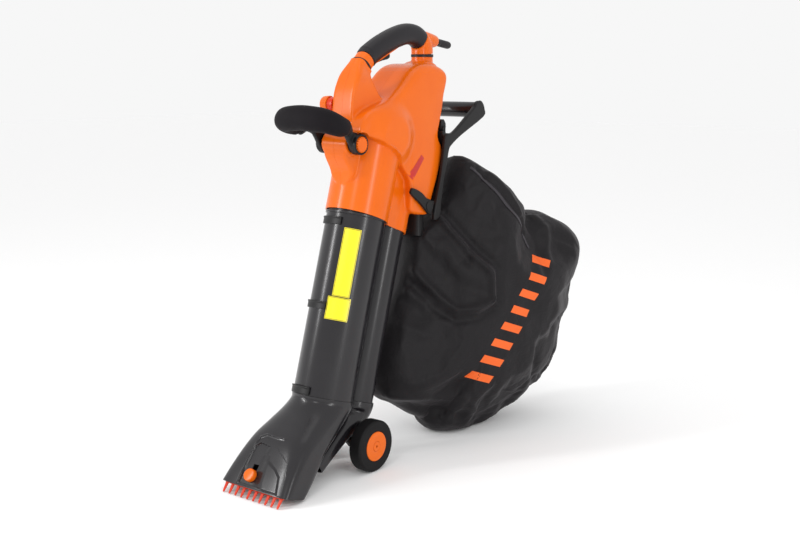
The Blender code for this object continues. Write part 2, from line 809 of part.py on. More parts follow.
def neck_end_cutter():
    """The neck and the rear boss end flat, where the rubber rings lie."""
    y, z, slope = handle_stations[0][:3]
    ahead = Vector((math.cos(math.radians(slope)), math.sin(math.radians(slope))))
    over = Vector((-ahead.y, ahead.x))
    start = Vector((y, z)) - ahead * ring_thickness
    outline = [start - over * 0.05, start + over * 0.05,
               start + over * 0.05 + ahead * 0.05, start - over * 0.05 + ahead * 0.05]
    return prism("neck_end", [tuple(p) for p in outline], -0.05, 0.05, tool=True)


def handle_ring(station, half_depth, half_width, shift=0.0, count=20):
    y, z, slope = station[:3]
    ahead = (math.cos(math.radians(slope)), math.sin(math.radians(slope)))
    over = (-ahead[1], ahead[0])
    centre = (y + ahead[0] * shift, z + ahead[1] * shift)
    return section(centre, over, half_width, half_depth, 2.3, count)


trigger_slope = math.radians(24.0)
trigger_base = Vector((0.1300, 0.8830))


def on_grip(along, over):
    ahead = Vector((math.cos(trigger_slope), math.sin(trigger_slope)))
    up = Vector((-ahead.y, ahead.x))
    spot = trigger_base + ahead * along + up * over
    return (spot.x, spot.y)


def grip_box(along_low, along_high, over_low, over_high):
    return [on_grip(along_low, over_low), on_grip(along_high, over_low),
            on_grip(along_high, over_high), on_grip(along_low, over_high)]


trigger_pivot_spot = on_grip(-0.030, -0.0130)


def make_handle():
    core_depth = grip_half_depth - grip_wall - seat_gap
    core_width = grip_half_width - grip_wall - seat_gap
    rings = []
    for index, station in enumerate(handle_stations):
        depth, width = station[3], station[4]
        if depth > 0.0:
            rings.append(handle_ring(station, depth, width))
            if index == 3:
                rings.append(handle_ring(station, core_depth, core_width, 0.0004))
        else:
            rings.append(handle_ring(station, core_depth, core_width))
            if index == 8:
                rings.append(handle_ring(station, core_depth, core_width, 0.0040))
                rings.append(handle_ring(station, 0.0238, 0.0208, 0.0044))
    core = loft("handle_frame", rings, orange_plastic)
    plug_slope = math.radians(-8.0)
    inlet_start = (0.318, 0.8965)
    out = (math.cos(plug_slope), math.sin(plug_slope))
    across = (-out[1], out[0])

    def inlet_ring(distance, radius, count=20):
        centre = (inlet_start[0] + out[0] * distance, inlet_start[1] + out[1] * distance)
        return section(centre, across, radius, radius, 2.0, count)

    boss_rings = [inlet_ring(-0.040, 0.0160), inlet_ring(-0.012, 0.0150), inlet_ring(0.006, 0.0130)]
    boss = loft("inlet_boss", boss_rings, tool=True)
    strip = prism("trigger_strip", grip_box(-0.046, 0.052, -0.0245, -0.0120), -0.0100, 0.0100, tool=True,
                  rounding=0.002)
    slot = prism("trigger_slot", grip_box(-0.0350, 0.0200, -0.0500, -0.0010),
                 -trigger_half_width - running_gap, trigger_half_width + running_gap, tool=True)
    bay = prism("switch_bay", grip_box(-0.0200, 0.0160, -0.0030, 0.0090), -0.0070, 0.0070, tool=True)
    socket_rings = [inlet_ring(distance, inlet_radius + seat_gap) for distance in (-0.010, 0.020)]
    socket = loft("inlet_socket", socket_rings, tool=True)
    pin_hole = disc("trigger_pin_hole", trigger_pivot_spot, pin_radius + running_gap / 2, -0.0095, 0.0095,
                    tool=True, count=16)
    button_spot = handle_stations[2][:2]
    button_hole = disc("lock_hole", button_spot, lock_radius + seat_gap, -0.05, -0.0075, tool=True,
                       count=small_count)
    join(core, boss, strip)
    cut(core, slot, bay, socket, pin_hole, button_hole)

    loft("power_inlet", [
        inlet_ring(-0.010 + seat_gap, inlet_radius), inlet_ring(inlet_length, inlet_radius),
        inlet_ring(inlet_length + 0.004, inlet_radius * 0.92),
        inlet_ring(inlet_length + 0.007, inlet_radius * 0.75),
    ], soft_rubber)

    outer_rings, inner_rings = [], []
    last = 8
    for index in range(3, last + 1):
        station = handle_stations[index]
        shift = 0.0008 if index == 3 else (0.0037 if index == last else 0.0)
        swell = 0.0015 if index in (3, last) else 0.0
        if index == last:
            outer_rings.append(handle_ring(station, grip_half_depth, grip_half_width))
            inner_rings.insert(0, handle_ring(station, core_depth + seat_gap, core_width + seat_gap))
        outer_rings.append(handle_ring(station, grip_half_depth - swell, grip_half_width - swell, shift))
        inner_rings.insert(0, handle_ring(station, core_depth + seat_gap, core_width + seat_gap, shift))
    grip = loft("handle_grip", outer_rings + inner_rings, soft_rubber, closed=True)
    mouth = prism("grip_mouth", grip_box(-0.046 - seat_gap, 0.052 + seat_gap, -0.0400, -0.0120 - 0.0005),
                  -0.0100 - seat_gap, 0.0100 + seat_gap, tool=True)
    cut(grip, mouth)

    trigger = prism("trigger", [
        on_grip(-0.0345, -0.0085), on_grip(0.0165, -0.0095), on_grip(0.0172, -0.0240),
        on_grip(0.0140, -0.0325), on_grip(0.0050, -0.0325), on_grip(-0.0120, -0.0280),
        on_grip(-0.0345, -0.0240),
    ], -trigger_half_width, trigger_half_width, black_plastic, rounding=0.0012)
    pin = disc("trigger_pin", trigger_pivot_spot, pin_radius, -0.0090, 0.0090, tool=True, count=16)
    join(trigger, pin)
    prism("power_switch", grip_box(-0.0200 + seat_gap, 0.0160 - seat_gap, 0.0, 0.0090 - seat_gap),
          -0.0070 + seat_gap, 0.0070 - seat_gap, black_plastic)
    turned("lock_button", button_spot, [(-0.0245, lock_radius - 0.001), (-0.0235, lock_radius),
                                        (-0.0120, lock_radius)], red_plastic, count=20)

    # Rubber rings between the handle and the housing.
    first, final = handle_stations[0], handle_stations[-1]
    loft("front_ring", [handle_ring(first, 0.0195, 0.0190, -ring_thickness + seat_gap),
                        handle_ring(first, 0.0195, 0.0190, -seat_gap)], soft_rubber)
    low_z = 0.862 + seat_gap
    y, z, slope = final[:3]
    ahead = Vector((math.cos(math.radians(slope)), math.sin(math.radians(slope))))
    over = (-ahead.y, ahead.x)
    top = section((y + ahead.x * seat_gap, z + ahead.y * seat_gap), over, 0.0205, 0.0240, 2.3, 20)
    base = [Vector((p.x, p.y, low_z)) for p in section((y, z), over, 0.0205, 0.0240, 2.3, 20)]
    loft("rear_ring", [top, base], soft_rubber)


# Front handle

def on_front_handle(x, forward, up):
    return Vector((x, pivot[0] - forward, pivot[1] + up))


handle_normal = Vector((0.0, math.sin(front_handle_angle), math.cos(front_handle_angle)))
loop_path = (
    # across, forward of the pivot, above the pivot
    (0.0465, 0.0270, 0.0240), (0.0475, 0.0340, 0.0310), (0.0500, 0.0430, 0.0365), (0.0560, 0.0620, 0.0400),
    (0.0610, 0.0820, 0.0435), (0.0600, 0.0970, 0.0465), (0.0500, 0.1070, 0.0490), (0.0270, 0.1110, 0.0505),
    (0.0, 0.1120, 0.0505),
)


def loop_rings(points, radii, count=14):
    rings = []
    for index, point in enumerate(points):
        here = on_front_handle(*point)
        before = on_front_handle(*points[max(index - 1, 0)])
        after = on_front_handle(*points[min(index + 1, len(points) - 1)])
        ahead = (after - before).normalized()
        across = ahead.cross(handle_normal).normalized()
        over = across.cross(ahead)
        ring = []
        for step in range(count):
            angle = 2.0 * math.pi * step / count
            ring.append(here + (across * math.cos(angle) + over * math.sin(angle)) * radii[index])
        rings.append(ring)
    return rings


def make_front_handle():
    both = list(loop_path) + [(-x, forward, up) for x, forward, up in reversed(loop_path[:-1])]
    ends = [bar_radius * 0.70, bar_radius * 0.80]
    frame = loft("front_handle_frame",
                 loop_rings(both, ends + [bar_radius] * (len(both) - 4) + ends[::-1]), black_plastic)
    tip = (pivot[0] - arm_tip[0], pivot[1] + arm_tip[1])
    hole = disc("front_handle_hole", pivot, bolt_radius + seat_gap, -0.1, 0.1, tool=True, count=small_count)
    for side, hand in ((1, "left"), (-1, "right")):
        low, high = sorted((side * arm_inner_x, side * (arm_inner_x + arm_thickness)))
        arm = prism(f"{hand}_handle_arm", capsule(pivot, arm_disc_radius, tip, arm_tip_radius), low, high,
                    black_plastic, rounding=0.002)
        cut(arm, hole)
        seat = prism(f"{hand}_arm_seat",
                     capsule(pivot, arm_disc_radius + seat_gap, tip, arm_tip_radius + seat_gap),
                     low - seat_gap, high + seat_gap, tool=True)
        cut(frame, seat)

    bare = 3
    swell = [1.0] * bare + [0.74, 0.84, 0.93, 0.98, 1.0, 1.0, 1.0, 0.98, 0.93, 0.84, 0.74] + [1.0] * bare
    outer = loop_rings(both, [front_grip_radius * share for share in swell])[bare:-bare]
    inner = loop_rings(both, [bar_radius + seat_gap] * len(both))[bare:-bare]
    loft("front_grip", outer + list(reversed(inner)), soft_rubber, closed=True)

    scallops = 24
    outline = []
    for step in range(scallops * 2):
        angle = math.pi * step / scallops
        radius = knob_radius if step % 2 == 0 else knob_radius - 0.0014
        outline.append((pivot[0] + radius * math.cos(angle), pivot[1] + radius * math.sin(angle)))
    start = arm_inner_x + arm_thickness + seat_gap
    bolt_ends = (start + knob_width * bolt_seat_share, start + right_knob_width * bolt_seat_share)
    for side, hand, width in ((1, "left", knob_width), (-1, "right", right_knob_width)):
        low, high = sorted((side * start, side * (start + width)))
        knob = prism(f"{hand}_knob", outline, low, high, orange_plastic)
        pocket = disc(f"{hand}_knob_pocket", pivot, bolt_radius + seat_gap, -bolt_ends[1] - seat_gap,
                      bolt_ends[0] + seat_gap, tool=True, count=small_count)
        cut(knob, pocket)
        ratchet = [(boss_half_width + seat_gap, bolt_radius + seat_gap),
                   (boss_half_width + seat_gap, ratchet_radius),
                   (arm_inner_x - seat_gap, ratchet_radius),
                   (arm_inner_x - seat_gap, bolt_radius + seat_gap)]
        washer(f"{hand}_ratchet", pivot, [(side * x, r) for x, r in ratchet], black_plastic, count=fine_count)
    disc("clamp_bolt", pivot, bolt_radius, -bolt_ends[1], bolt_ends[0], steel, count=small_count)


# Fan and motor

def make_motor():
    ring_inner = fan_radius + fan_ring_gap
    fan_low = 0.0040
    plate = 0.0025
    blade_high = fan_low + plate + blade_width
    fan = washer("impeller", fan_axis, [
        (fan_low, shaft_radius + seat_gap), (blade_high, shaft_radius + seat_gap),
        (blade_high, fan_hub_radius - 0.002), (fan_low + plate + 0.004, fan_hub_radius),
        (fan_low + plate, fan_hub_radius + 0.003),
        (fan_low + plate, fan_radius), (fan_low, fan_radius),
    ], black_plastic, count=fine_count)
    for index in range(blade_count):
        angle = 2.0 * math.pi * index / blade_count
        sweep = math.radians(35.0)
        half = 0.0012
        outline = []
        for radius, turn, side in ((fan_hub_radius - 0.003, 0.0, -1), (fan_radius * 0.6, sweep * 0.45, -1),
                                   (fan_radius - 0.0005, sweep, -1), (fan_radius - 0.0005, sweep, 1),
                                   (fan_radius * 0.6, sweep * 0.45, 1), (fan_hub_radius - 0.003, 0.0, 1)):
            direction = angle + turn
            y = fan_axis[0] + radius * math.cos(direction) - side * half * math.sin(direction)
            z = fan_axis[1] + radius * math.sin(direction) + side * half * math.cos(direction)
            outline.append((y, z))
        blade = prism(f"blade_form_{index + 1}", outline, fan_low + plate / 2, blade_high - 0.001, tool=True)
        join(fan, blade)
    shaft_low, shaft_high = -0.0560, blade_high + 0.003
    disc("motor_shaft", fan_axis, shaft_radius, shaft_low, shaft_high, steel, count=small_count)
    shroud_low = blade_high + 0.0025
    washer("inlet_shroud", fan_axis, [
        (shroud_low, fan_radius * 0.62), (shroud_low, ring_inner - seat_gap),
        (shroud_low + 0.0025, ring_inner - seat_gap), (shroud_low + 0.0025, fan_radius * 0.62),
    ], black_plastic, count=fine_count)
    cup_outer = stator_radius + seat_gap + motor_cup_wall
    cup_low, cup_high = -housing_half_width + housing_wall + seat_gap, -seat_gap
    floor = 0.0030
    bearing_bore = bearing_radius + seat_gap
    front_low = cup_high - floor - bearing_width
    washer("motor_cup", fan_axis, [
        (cup_low, bearing_bore), (cup_low + 0.0020, bearing_bore), (cup_low + 0.0020, stator_radius - 0.006),
        (cup_low + 0.0100, stator_radius + seat_gap), (front_low - 0.004, stator_radius + seat_gap),
        (front_low - 0.004, bearing_bore), (cup_high, bearing_bore),
        (cup_high, ring_inner + fan_ring_wall), (cup_high - floor, ring_inner + fan_ring_wall),
        (cup_high - floor, cup_outer), (cup_low + 0.0080, cup_outer), (cup_low, stator_radius - 0.004),
    ], black_plastic, count=fine_count)
    middle = (cup_low + 0.0100 + front_low - 0.004) / 2
    stator_half = motor_length / 2
    washer("stator", fan_axis, [
        (middle - stator_half, armature_radius + running_gap),
        (middle + stator_half, armature_radius + running_gap),
        (middle + stator_half, stator_radius), (middle - stator_half, stator_radius),
    ], copper, count=fine_count)
    washer("armature", fan_axis, [
        (middle - stator_half, shaft_radius + seat_gap), (middle + stator_half, shaft_radius + seat_gap),
        (middle + stator_half, armature_radius), (middle - stator_half, armature_radius),
    ], steel, count=fine_count)
    for name, low in (("front_bearing", front_low + 0.002), ("rear_bearing", cup_low)):
        washer(name, fan_axis, [
            (low, shaft_radius + seat_gap), (low + bearing_width, shaft_radius + seat_gap),
            (low + bearing_width, bearing_radius), (low, bearing_radius),
        ], steel, count=small_count)
    vent = turned("vent_cover", fan_axis, [
        (-housing_half_width + housing_wall + 0.001, vent_radius),
        (-housing_half_width - 0.002, vent_radius),
        (-housing_half_width - 0.0045, vent_radius - 0.004),
        (-housing_half_width - 0.0055, vent_radius * 0.5),
    ], orange_plastic)
    pocket = disc("vent_pocket", fan_axis, vent_radius - 0.006, -housing_half_width - 0.0020,
                  -housing_half_width + 0.02, tool=True)
    cut(vent, pocket)
    for index in range(5):
        z = fan_axis[1] + (index - 2) * 0.0110
        slot = block(f"vent_slot_{index + 1}", (-0.10, fan_axis[0] - 0.022, z - 0.0018),
                     (-0.040, fan_axis[0] + 0.022, z + 0.0018), tool=True)
        cut(vent, slot)
    for index, spot in enumerate(screw_spots):
        screw = turned(f"body_screw_{index + 1}", spot, [
            (-0.0500, screw_head_radius), (-0.0475, screw_head_radius), (-0.0473, screw_shank_radius),
            (0.0100, screw_shank_radius),
        ], steel, count=12)
        slot = block(f"screw_slot_{index + 1}", (-0.0600, spot[0] - 0.0030, spot[1] - 0.0006),
                     (-0.0490, spot[0] + 0.0030, spot[1] + 0.0006), tool=True)
        cut(screw, slot)


# Speed dial

def make_dial():
    base_low = dial_seat_x + seat_gap
    washer("dial_base", dial_centre, [
        (-base_low, 0.0052), (-base_low - dial_base_thickness, 0.0052),
        (-base_low - dial_base_thickness, dial_radius - 0.002),
        (-base_low, dial_radius - 0.002),
    ], red_plastic, count=fine_count)
    knob_low = base_low + dial_base_thickness + seat_gap
    knob = turned("speed_dial", dial_centre, [
        (-knob_low, dial_radius), (-knob_low - dial_width + 0.002, dial_radius - 0.001),
        (-knob_low - dial_width, dial_radius - 0.003),
    ], orange_plastic, count=fine_count)
    stem = disc("dial_stem", dial_centre, 0.0047, -knob_low - 0.004, -0.0200, tool=True, count=16)
    join(knob, stem)


# Selector

def make_selector():
    tip = Vector(mm((152, 581))[0])
    root = Vector(selector_pivot)
    ahead = (tip - root).normalized()
    over = Vector((ahead.y, -ahead.x))
    if over.y < 0:
        over = -over

    def at(along, across):
        spot = root + ahead * along + over * across
        return (spot.x, spot.y)

    start = housing_half_width + seat_gap
    lever = prism("selector_lever", [
        at(-0.016, -0.006), at(-0.012, -0.014), at(0.004, -0.013), at(0.030, -0.010), at(0.068, -0.009),
        at(0.074, -0.002), at(0.070, 0.006), at(0.040, 0.012), at(0.018, 0.011), at(0.002, 0.015),
        at(-0.012, 0.012),
    ], start, start + lever_thickness, black_plastic, rounding=0.0025)
    shaft = disc("selector_shaft", selector_pivot, selector_shaft_radius, -0.0500, start + 0.004, tool=True,
                 count=20)
    flap = prism("selector_flap", [
        at(-0.003, -0.002), at(0.040, -0.0015), at(0.042, 0.0), at(0.040, 0.0015), at(-0.003, 0.002),
    ], -flap_half_width, flap_half_width, tool=True)
    join(lever, shaft, flap)


# Bag frame, latch and bag

frame_side_outline = mm(
    (226, 508), (247, 515), (252, 545), (262, 595), (272, 629), (279, 657), (289, 669), (328, 690),
    (411, 729), (413, 747), (404, 760), (390, 763), (342, 731), (312, 714), (290, 702), (274, 696),
    (266, 690), (262, 665), (258, 640), (250, 600), (238, 560), (228, 530),
)


def make_bag_frame():
    start = side_plate_inner_x
    end = start + side_plate_thickness
    frame = None
    for side, hand in ((1, "left"), (-1, "right")):
        low, high = sorted((side * start, side * end))
        plate = prism("bag_frame" if side > 0 else "right_frame_plate", frame_side_outline, low, high,
                      black_plastic, tool=side < 0, rounding=0.0020, segments=1)
        if side > 0:
            frame = plate
        else:
            right_plate = plate
    rear = [point for point in housing_outline if point in mm((273, 662), (270, 640), (258, 600), (238, 548))]
    near = [(y + seat_gap, z) for y, z in rear]
    far = [(y + 0.0070, z) for y, z in reversed(rear)]
    back = prism("frame_back", near + far, -start - 0.003, start + 0.003, tool=True)
    join(frame, back, right_plate)
    ear_outline = [(0.2740, 0.6560), (0.2795, 0.6560), (0.2800, 0.7080), (0.2745, 0.7125), (0.2690, 0.7080),
                   (0.2740, 0.6640)]
    for index, low in enumerate((latch_inner_x - 0.0055, latch_inner_x + latch_width + 0.0005)):
        ear = prism(f"latch_ear_{index + 1}", ear_outline, low, low + 0.0050, tool=True)
        join(frame, ear)
    latch_bore = disc("latch_bore", latch_pivot, pin_radius + 0.0002, latch_inner_x - 0.02,
                      latch_inner_x + latch_width + 0.02, tool=True, count=16)
    tube_bore = disc("tube_bore", cross_tube_centre, cross_tube_radius + seat_gap, -end + 0.003, end - 0.003,
                     tool=True, count=fine_count)
    around = cross_tube_radius + 0.0015
    shoulder = disc("tube_shoulder_left", cross_tube_centre, around, start, end, tool=True, count=fine_count)
    other = disc("tube_shoulder_right", cross_tube_centre, around, -end, -start, tool=True, count=fine_count)
    join(frame, shoulder, other)
    cut(frame, latch_bore, tube_bore)
    tube_end = end - 0.003 - seat_gap
    washer("cross_tube", cross_tube_centre, [
        (-tube_end, cross_tube_radius - 0.002), (tube_end, cross_tube_radius - 0.002),
        (tube_end, cross_tube_radius), (-tube_end, cross_tube_radius),
    ], black_plastic, count=fine_count)
    latch = prism("frame_latch", [
        (latch_pivot[0] - 0.0055, latch_pivot[1] - 0.004), (latch_pivot[0] + 0.002, latch_pivot[1] - 0.012),
        (latch_pivot[0] + 0.011, latch_pivot[1] - 0.006), (latch_pivot[0] + 0.012, latch_pivot[1] + 0.008),
        (latch_pivot[0] + 0.004, latch_pivot[1] + 0.018), (latch_pivot[0] - 0.0045, latch_pivot[1] + 0.016),
        (latch_pivot[0] - 0.0052, latch_pivot[1] + 0.005),
    ], latch_inner_x, latch_inner_x + latch_width, black_plastic, rounding=0.001)
    pin_low, pin_high = latch_inner_x - 0.0050, latch_inner_x + latch_width + 0.0050
    pin = disc("latch_pin", latch_pivot, pin_radius, pin_low, pin_high, tool=True, count=16)
    join(latch, pin)


collar_sections = (
    (mm((218.5, 526.0))[0], (-0.992, 0.128), 0.0440, 0.0135, 4.0),
    (mm((219.5, 500))[0], (-0.992, 0.128), 0.0440, 0.0150, 4.0),
    (mm((220.5, 472))[0], (-0.992, 0.128), 0.0450, 0.0185, 4.0),
)
collar_drop = 0.0003

bag_outline = (
    # distance behind the bag's front line, height
    (-0.074, 0.124), (-0.018, 0.088), (0.042, 0.050), (0.088, 0.010), (0.160, 0.0), (0.225, 0.004),
    (0.300, 0.024), (0.372, 0.056), (0.436, 0.090), (0.474, 0.180), (0.492, 0.230), (0.510, 0.310),
    (0.526, 0.386), (0.522, 0.424), (0.494, 0.453), (0.450, 0.475), (0.404, 0.491), (0.348, 0.494),
    (0.320, 0.533), (0.274, 0.575), (0.214, 0.611), (0.172, 0.633), (0.150, 0.632), (0.128, 0.592),
    (0.110, 0.545), (0.070, 0.503), (0.028, 0.478), (0.020, 0.420), (-0.010, 0.340), (-0.076, 0.210),
)
bag_middle = (0.235, 0.300)


def on_bag(back, height, out):
    along = Vector((math.sin(bag_yaw), math.cos(bag_yaw)))
    away = Vector((math.cos(bag_yaw), -math.sin(bag_yaw)))
    spot = Vector((0.0, bag_start_y)) + along * back + away * out
    return Vector((spot.x, spot.y, height))


def make_bag():
    def collar(name, extra, tool):
        specs = [(c, f, w + extra, d + extra, s) for c, f, w, d, s in collar_sections]
        if tool:
            return loft(name, [section(*spec) for spec in specs], tool=True)
        return loft(name, shell_rings(specs, bag_collar_wall), black_plastic, closed=True)

    made = collar("bag_collar", 0.0, False)
    ceiling = prism("collar_ceiling", [
        (0.150, 0.529 + (0.167 - 0.150) * 0.129 - collar_drop), (0.250, 0.521 - (0.250 - 0.229) * 0.129
                                                                - collar_drop),
        (0.250, 0.560), (0.150, 0.560),
    ], -0.06, 0.06, tool=True)
    cut(made, ceiling)

    profile = ((1.0, 0.05), (0.955, 0.42), (0.85, 0.70), (0.66, 0.90), (0.40, 1.0))
    rings = []
    for scale, share in [(s, -t) for s, t in reversed(profile)] + list(profile):
        ring = []
        for back, height in bag_outline:
            drawn_back = bag_middle[0] + (back - bag_middle[0]) * scale
            drawn_height = bag_middle[1] + (height - bag_middle[1]) * scale
            ring.append(on_bag(drawn_back, drawn_height, share * bag_half_thickness))
        rings.append(ring)
    bag = loft("bag", rings, bag_cloth)
    cut(bag, collar("collar_clearance", seat_gap, True))
    under = block("bag_floor", (-0.3, 0.0, -0.05), (0.4, 0.9, 0.0), tool=True)
    cut(bag, under)

    # Orange lug on the blower tube, and the steel ring of the bag that hangs on it.
    lug_spot = Vector(on_tube(0.300, -tube_spacing - blower_radius - seat_gap))
    up = Vector((sin_lean, cos_lean))
    back_way = Vector((cos_lean, -sin_lean))

    def lug_at(along, out):
        spot = lug_spot + up * along + back_way * out
        return (spot.x, spot.y)

    prism("bag_lug", [lug_at(-0.012, 0.0), lug_at(0.012, 0.0), lug_at(0.010, 0.010), lug_at(-0.002, 0.014),
                      lug_at(-0.010, 0.008)], -0.0045, 0.0045, orange_plastic, rounding=0.001)


make_tubes()
make_nozzle()
make_duct()
make_rake()
make_wheels()
make_housing()
make_handle()
make_front_handle()
make_motor()
make_dial()
make_selector()
make_bag_frame()
make_bag()
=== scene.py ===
import math

import bmesh
import bpy
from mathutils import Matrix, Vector, noise
from mathutils.bvhtree import BVHTree


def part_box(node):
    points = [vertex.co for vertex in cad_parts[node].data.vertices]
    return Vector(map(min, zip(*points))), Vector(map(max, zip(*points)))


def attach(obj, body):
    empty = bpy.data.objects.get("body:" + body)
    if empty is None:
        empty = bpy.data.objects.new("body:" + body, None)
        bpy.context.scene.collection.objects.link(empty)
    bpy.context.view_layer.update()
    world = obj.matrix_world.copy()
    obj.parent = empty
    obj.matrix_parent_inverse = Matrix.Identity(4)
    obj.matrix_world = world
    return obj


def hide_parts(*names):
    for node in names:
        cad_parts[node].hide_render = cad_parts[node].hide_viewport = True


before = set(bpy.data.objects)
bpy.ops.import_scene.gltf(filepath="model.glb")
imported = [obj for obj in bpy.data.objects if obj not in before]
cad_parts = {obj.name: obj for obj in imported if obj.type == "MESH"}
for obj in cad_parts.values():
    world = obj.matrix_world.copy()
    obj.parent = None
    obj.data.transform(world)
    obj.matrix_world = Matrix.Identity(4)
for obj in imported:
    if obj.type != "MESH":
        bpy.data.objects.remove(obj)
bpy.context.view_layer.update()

print("frame loaded:", len(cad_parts), "nodes")


# camera and studio first

studio = {
    "cameraPlace": (1.5056, -1.5164, 0.8304),
    "cameraDown": 10.0088,     # degrees below the horizon
    "cameraTurn": 38.0914,     # degrees from straight along +Y
    "lens": 49.93,
    "floorSize": 30.0,
    "skyStrength": 0.93,
    "lights": (
        # name, place, aimed at, width, height, watts
        ("keySoftbox", (0.9, -2.4, 2.1), (0.0, 0.2, 0.55), 0.5, 0.9, 8.0),
        ("stripSoftbox", (-1.45, -1.85, 1.4), (0.0, 0.2, 0.5), 0.18, 1.7, 32.0),
        ("sideStrip", (2.5, -0.35, 0.9), (0.0, 0.2, 0.5), 0.09, 1.5, 15.0),
        ("topSoftbox", (0.3, 0.5, 2.8), (0.0, 0.3, 0.5), 1.2, 1.2, 3.0),
    ),
}


def toLinear(hexColour):
    # sRGB hex to the linear colour that the shaders want
    parts = [int(hexColour[i:i + 2], 16) / 255.0 for i in (1, 3, 5)]
    return tuple(c / 12.92 if c <= 0.04045 else ((c + 0.055) / 1.055) ** 2.4 for c in parts) + (1.0,)


def buildStudio():
    scene = bpy.context.scene
    camera = bpy.data.objects.new("camera", bpy.data.cameras.new("camera"))
    camera.data.lens = studio["lens"]
    camera.location = studio["cameraPlace"]
    turn = math.radians(studio["cameraTurn"])
    camera.rotation_euler = (math.radians(90.0 - studio["cameraDown"]), 0.0, turn)
    scene.collection.objects.link(camera)
    scene.camera = camera
    scene.view_settings.view_transform = "Standard"
    world = bpy.data.worlds.new("studio")
    world.use_nodes = True
    sky = world.node_tree.nodes["Background"]
    sky.inputs["Color"].default_value = toLinear("#ffffff")
    sky.inputs["Strength"].default_value = studio["skyStrength"]
    scene.world = world
    for name, place, aim, width, height, watts in studio["lights"]:
        lamp = bpy.data.lights.new(name, "AREA")
        lamp.shape = "RECTANGLE"
        lamp.size = width
        lamp.size_y = height
        lamp.energy = watts
        holder = bpy.data.objects.new(name, lamp)
        holder.location = place
        holder.rotation_euler = (Vector(aim) - Vector(place)).to_track_quat("-Z", "Y").to_euler()
        scene.collection.objects.link(holder)
    bm = bmesh.new()
    bmesh.ops.create_grid(bm, x_segments=1, y_segments=1, size=studio["floorSize"] / 2)
    mesh = bpy.data.meshes.new("floor")
    bm.to_mesh(mesh)
    bm.free()
    floor = bpy.data.objects.new("floor", mesh)
    scene.collection.objects.link(floor)
    paper = bpy.data.materials.new("studioPaper")
    paper.use_nodes = True
    shader = paper.node_tree.nodes["Principled BSDF"]
    shader.inputs["Base Color"].default_value = toLinear("#ffffff")
    shader.inputs["Roughness"].default_value = 0.9
    shader.inputs["Specular IOR Level"].default_value = 0.1
    mesh.materials.append(paper)


buildStudio()
print("studio ready")


# finishes

def addNode(tree, kind, settings=None, links=None):
    # settings holds properties and input values, links holds input name to (node, output name)
    node = tree.nodes.new(kind)
    for key, value in (settings or {}).items():
        if hasattr(node, key) and key not in node.inputs:
            setattr(node, key, value)
        else:
            node.inputs[key].default_value = value
    for key, (source, output) in (links or {}).items():
        tree.links.new(source.outputs[output], node.inputs[key])
    return node


def startFinish(name, colour, roughness, metallic=0.0, ior=1.5, coat=0.0, specular=0.5):
    made = bpy.data.materials.new(name)
    made.use_nodes = True
    tree = made.node_tree
    shader = tree.nodes["Principled BSDF"]
    shader.inputs["Base Color"].default_value = toLinear(colour)
    shader.inputs["Roughness"].default_value = roughness
    shader.inputs["Metallic"].default_value = metallic
    shader.inputs["IOR"].default_value = ior
    shader.inputs["Coat Weight"].default_value = coat
    shader.inputs["Coat Roughness"].default_value = 0.15
    shader.inputs["Specular IOR Level"].default_value = specular
    place = addNode(tree, "ShaderNodeTexCoord")
    return made, tree, shader, place


def grained(name, colour, shade, roughness, grainMm, grainHeightMm, spread=0.08, coat=0.0, ior=1.5,
            metallic=0.0, cloudMm=60.0, specular=0.5):
    # a moulded or cast surface: cloudy colour from flow, a fine grain in the bump, uneven roughness
    made, tree, shader, place = startFinish(name, colour, roughness, metallic, ior, coat, specular)
    clouds = addNode(tree, "ShaderNodeTexNoise", {"Scale": 1000.0 / cloudMm, "Detail": 3.0},
                     {"Vector": (place, "Object")})
    tint = addNode(tree, "ShaderNodeMix", {"data_type": "RGBA"}, {"Factor": (clouds, "Fac")})
    tint.inputs["A"].default_value = toLinear(shade)
    tint.inputs["B"].default_value = toLinear(colour)
    tree.links.new(tint.outputs["Result"], shader.inputs["Base Color"])
    rough = addNode(tree, "ShaderNodeMapRange", {"To Min": roughness - spread, "To Max": roughness + spread},
                    {"Value": (clouds, "Fac")})
    tree.links.new(rough.outputs["Result"], shader.inputs["Roughness"])
    grain = addNode(tree, "ShaderNodeTexNoise", {"Scale": 1000.0 / grainMm, "Detail": 2.0},
                    {"Vector": (place, "Object")})
    bump = addNode(tree, "ShaderNodeBump", {"Strength": 0.6, "Distance": grainHeightMm / 1000.0},
                   {"Height": (grain, "Fac")})
    tree.links.new(bump.outputs["Normal"], shader.inputs["Normal"])
    return made


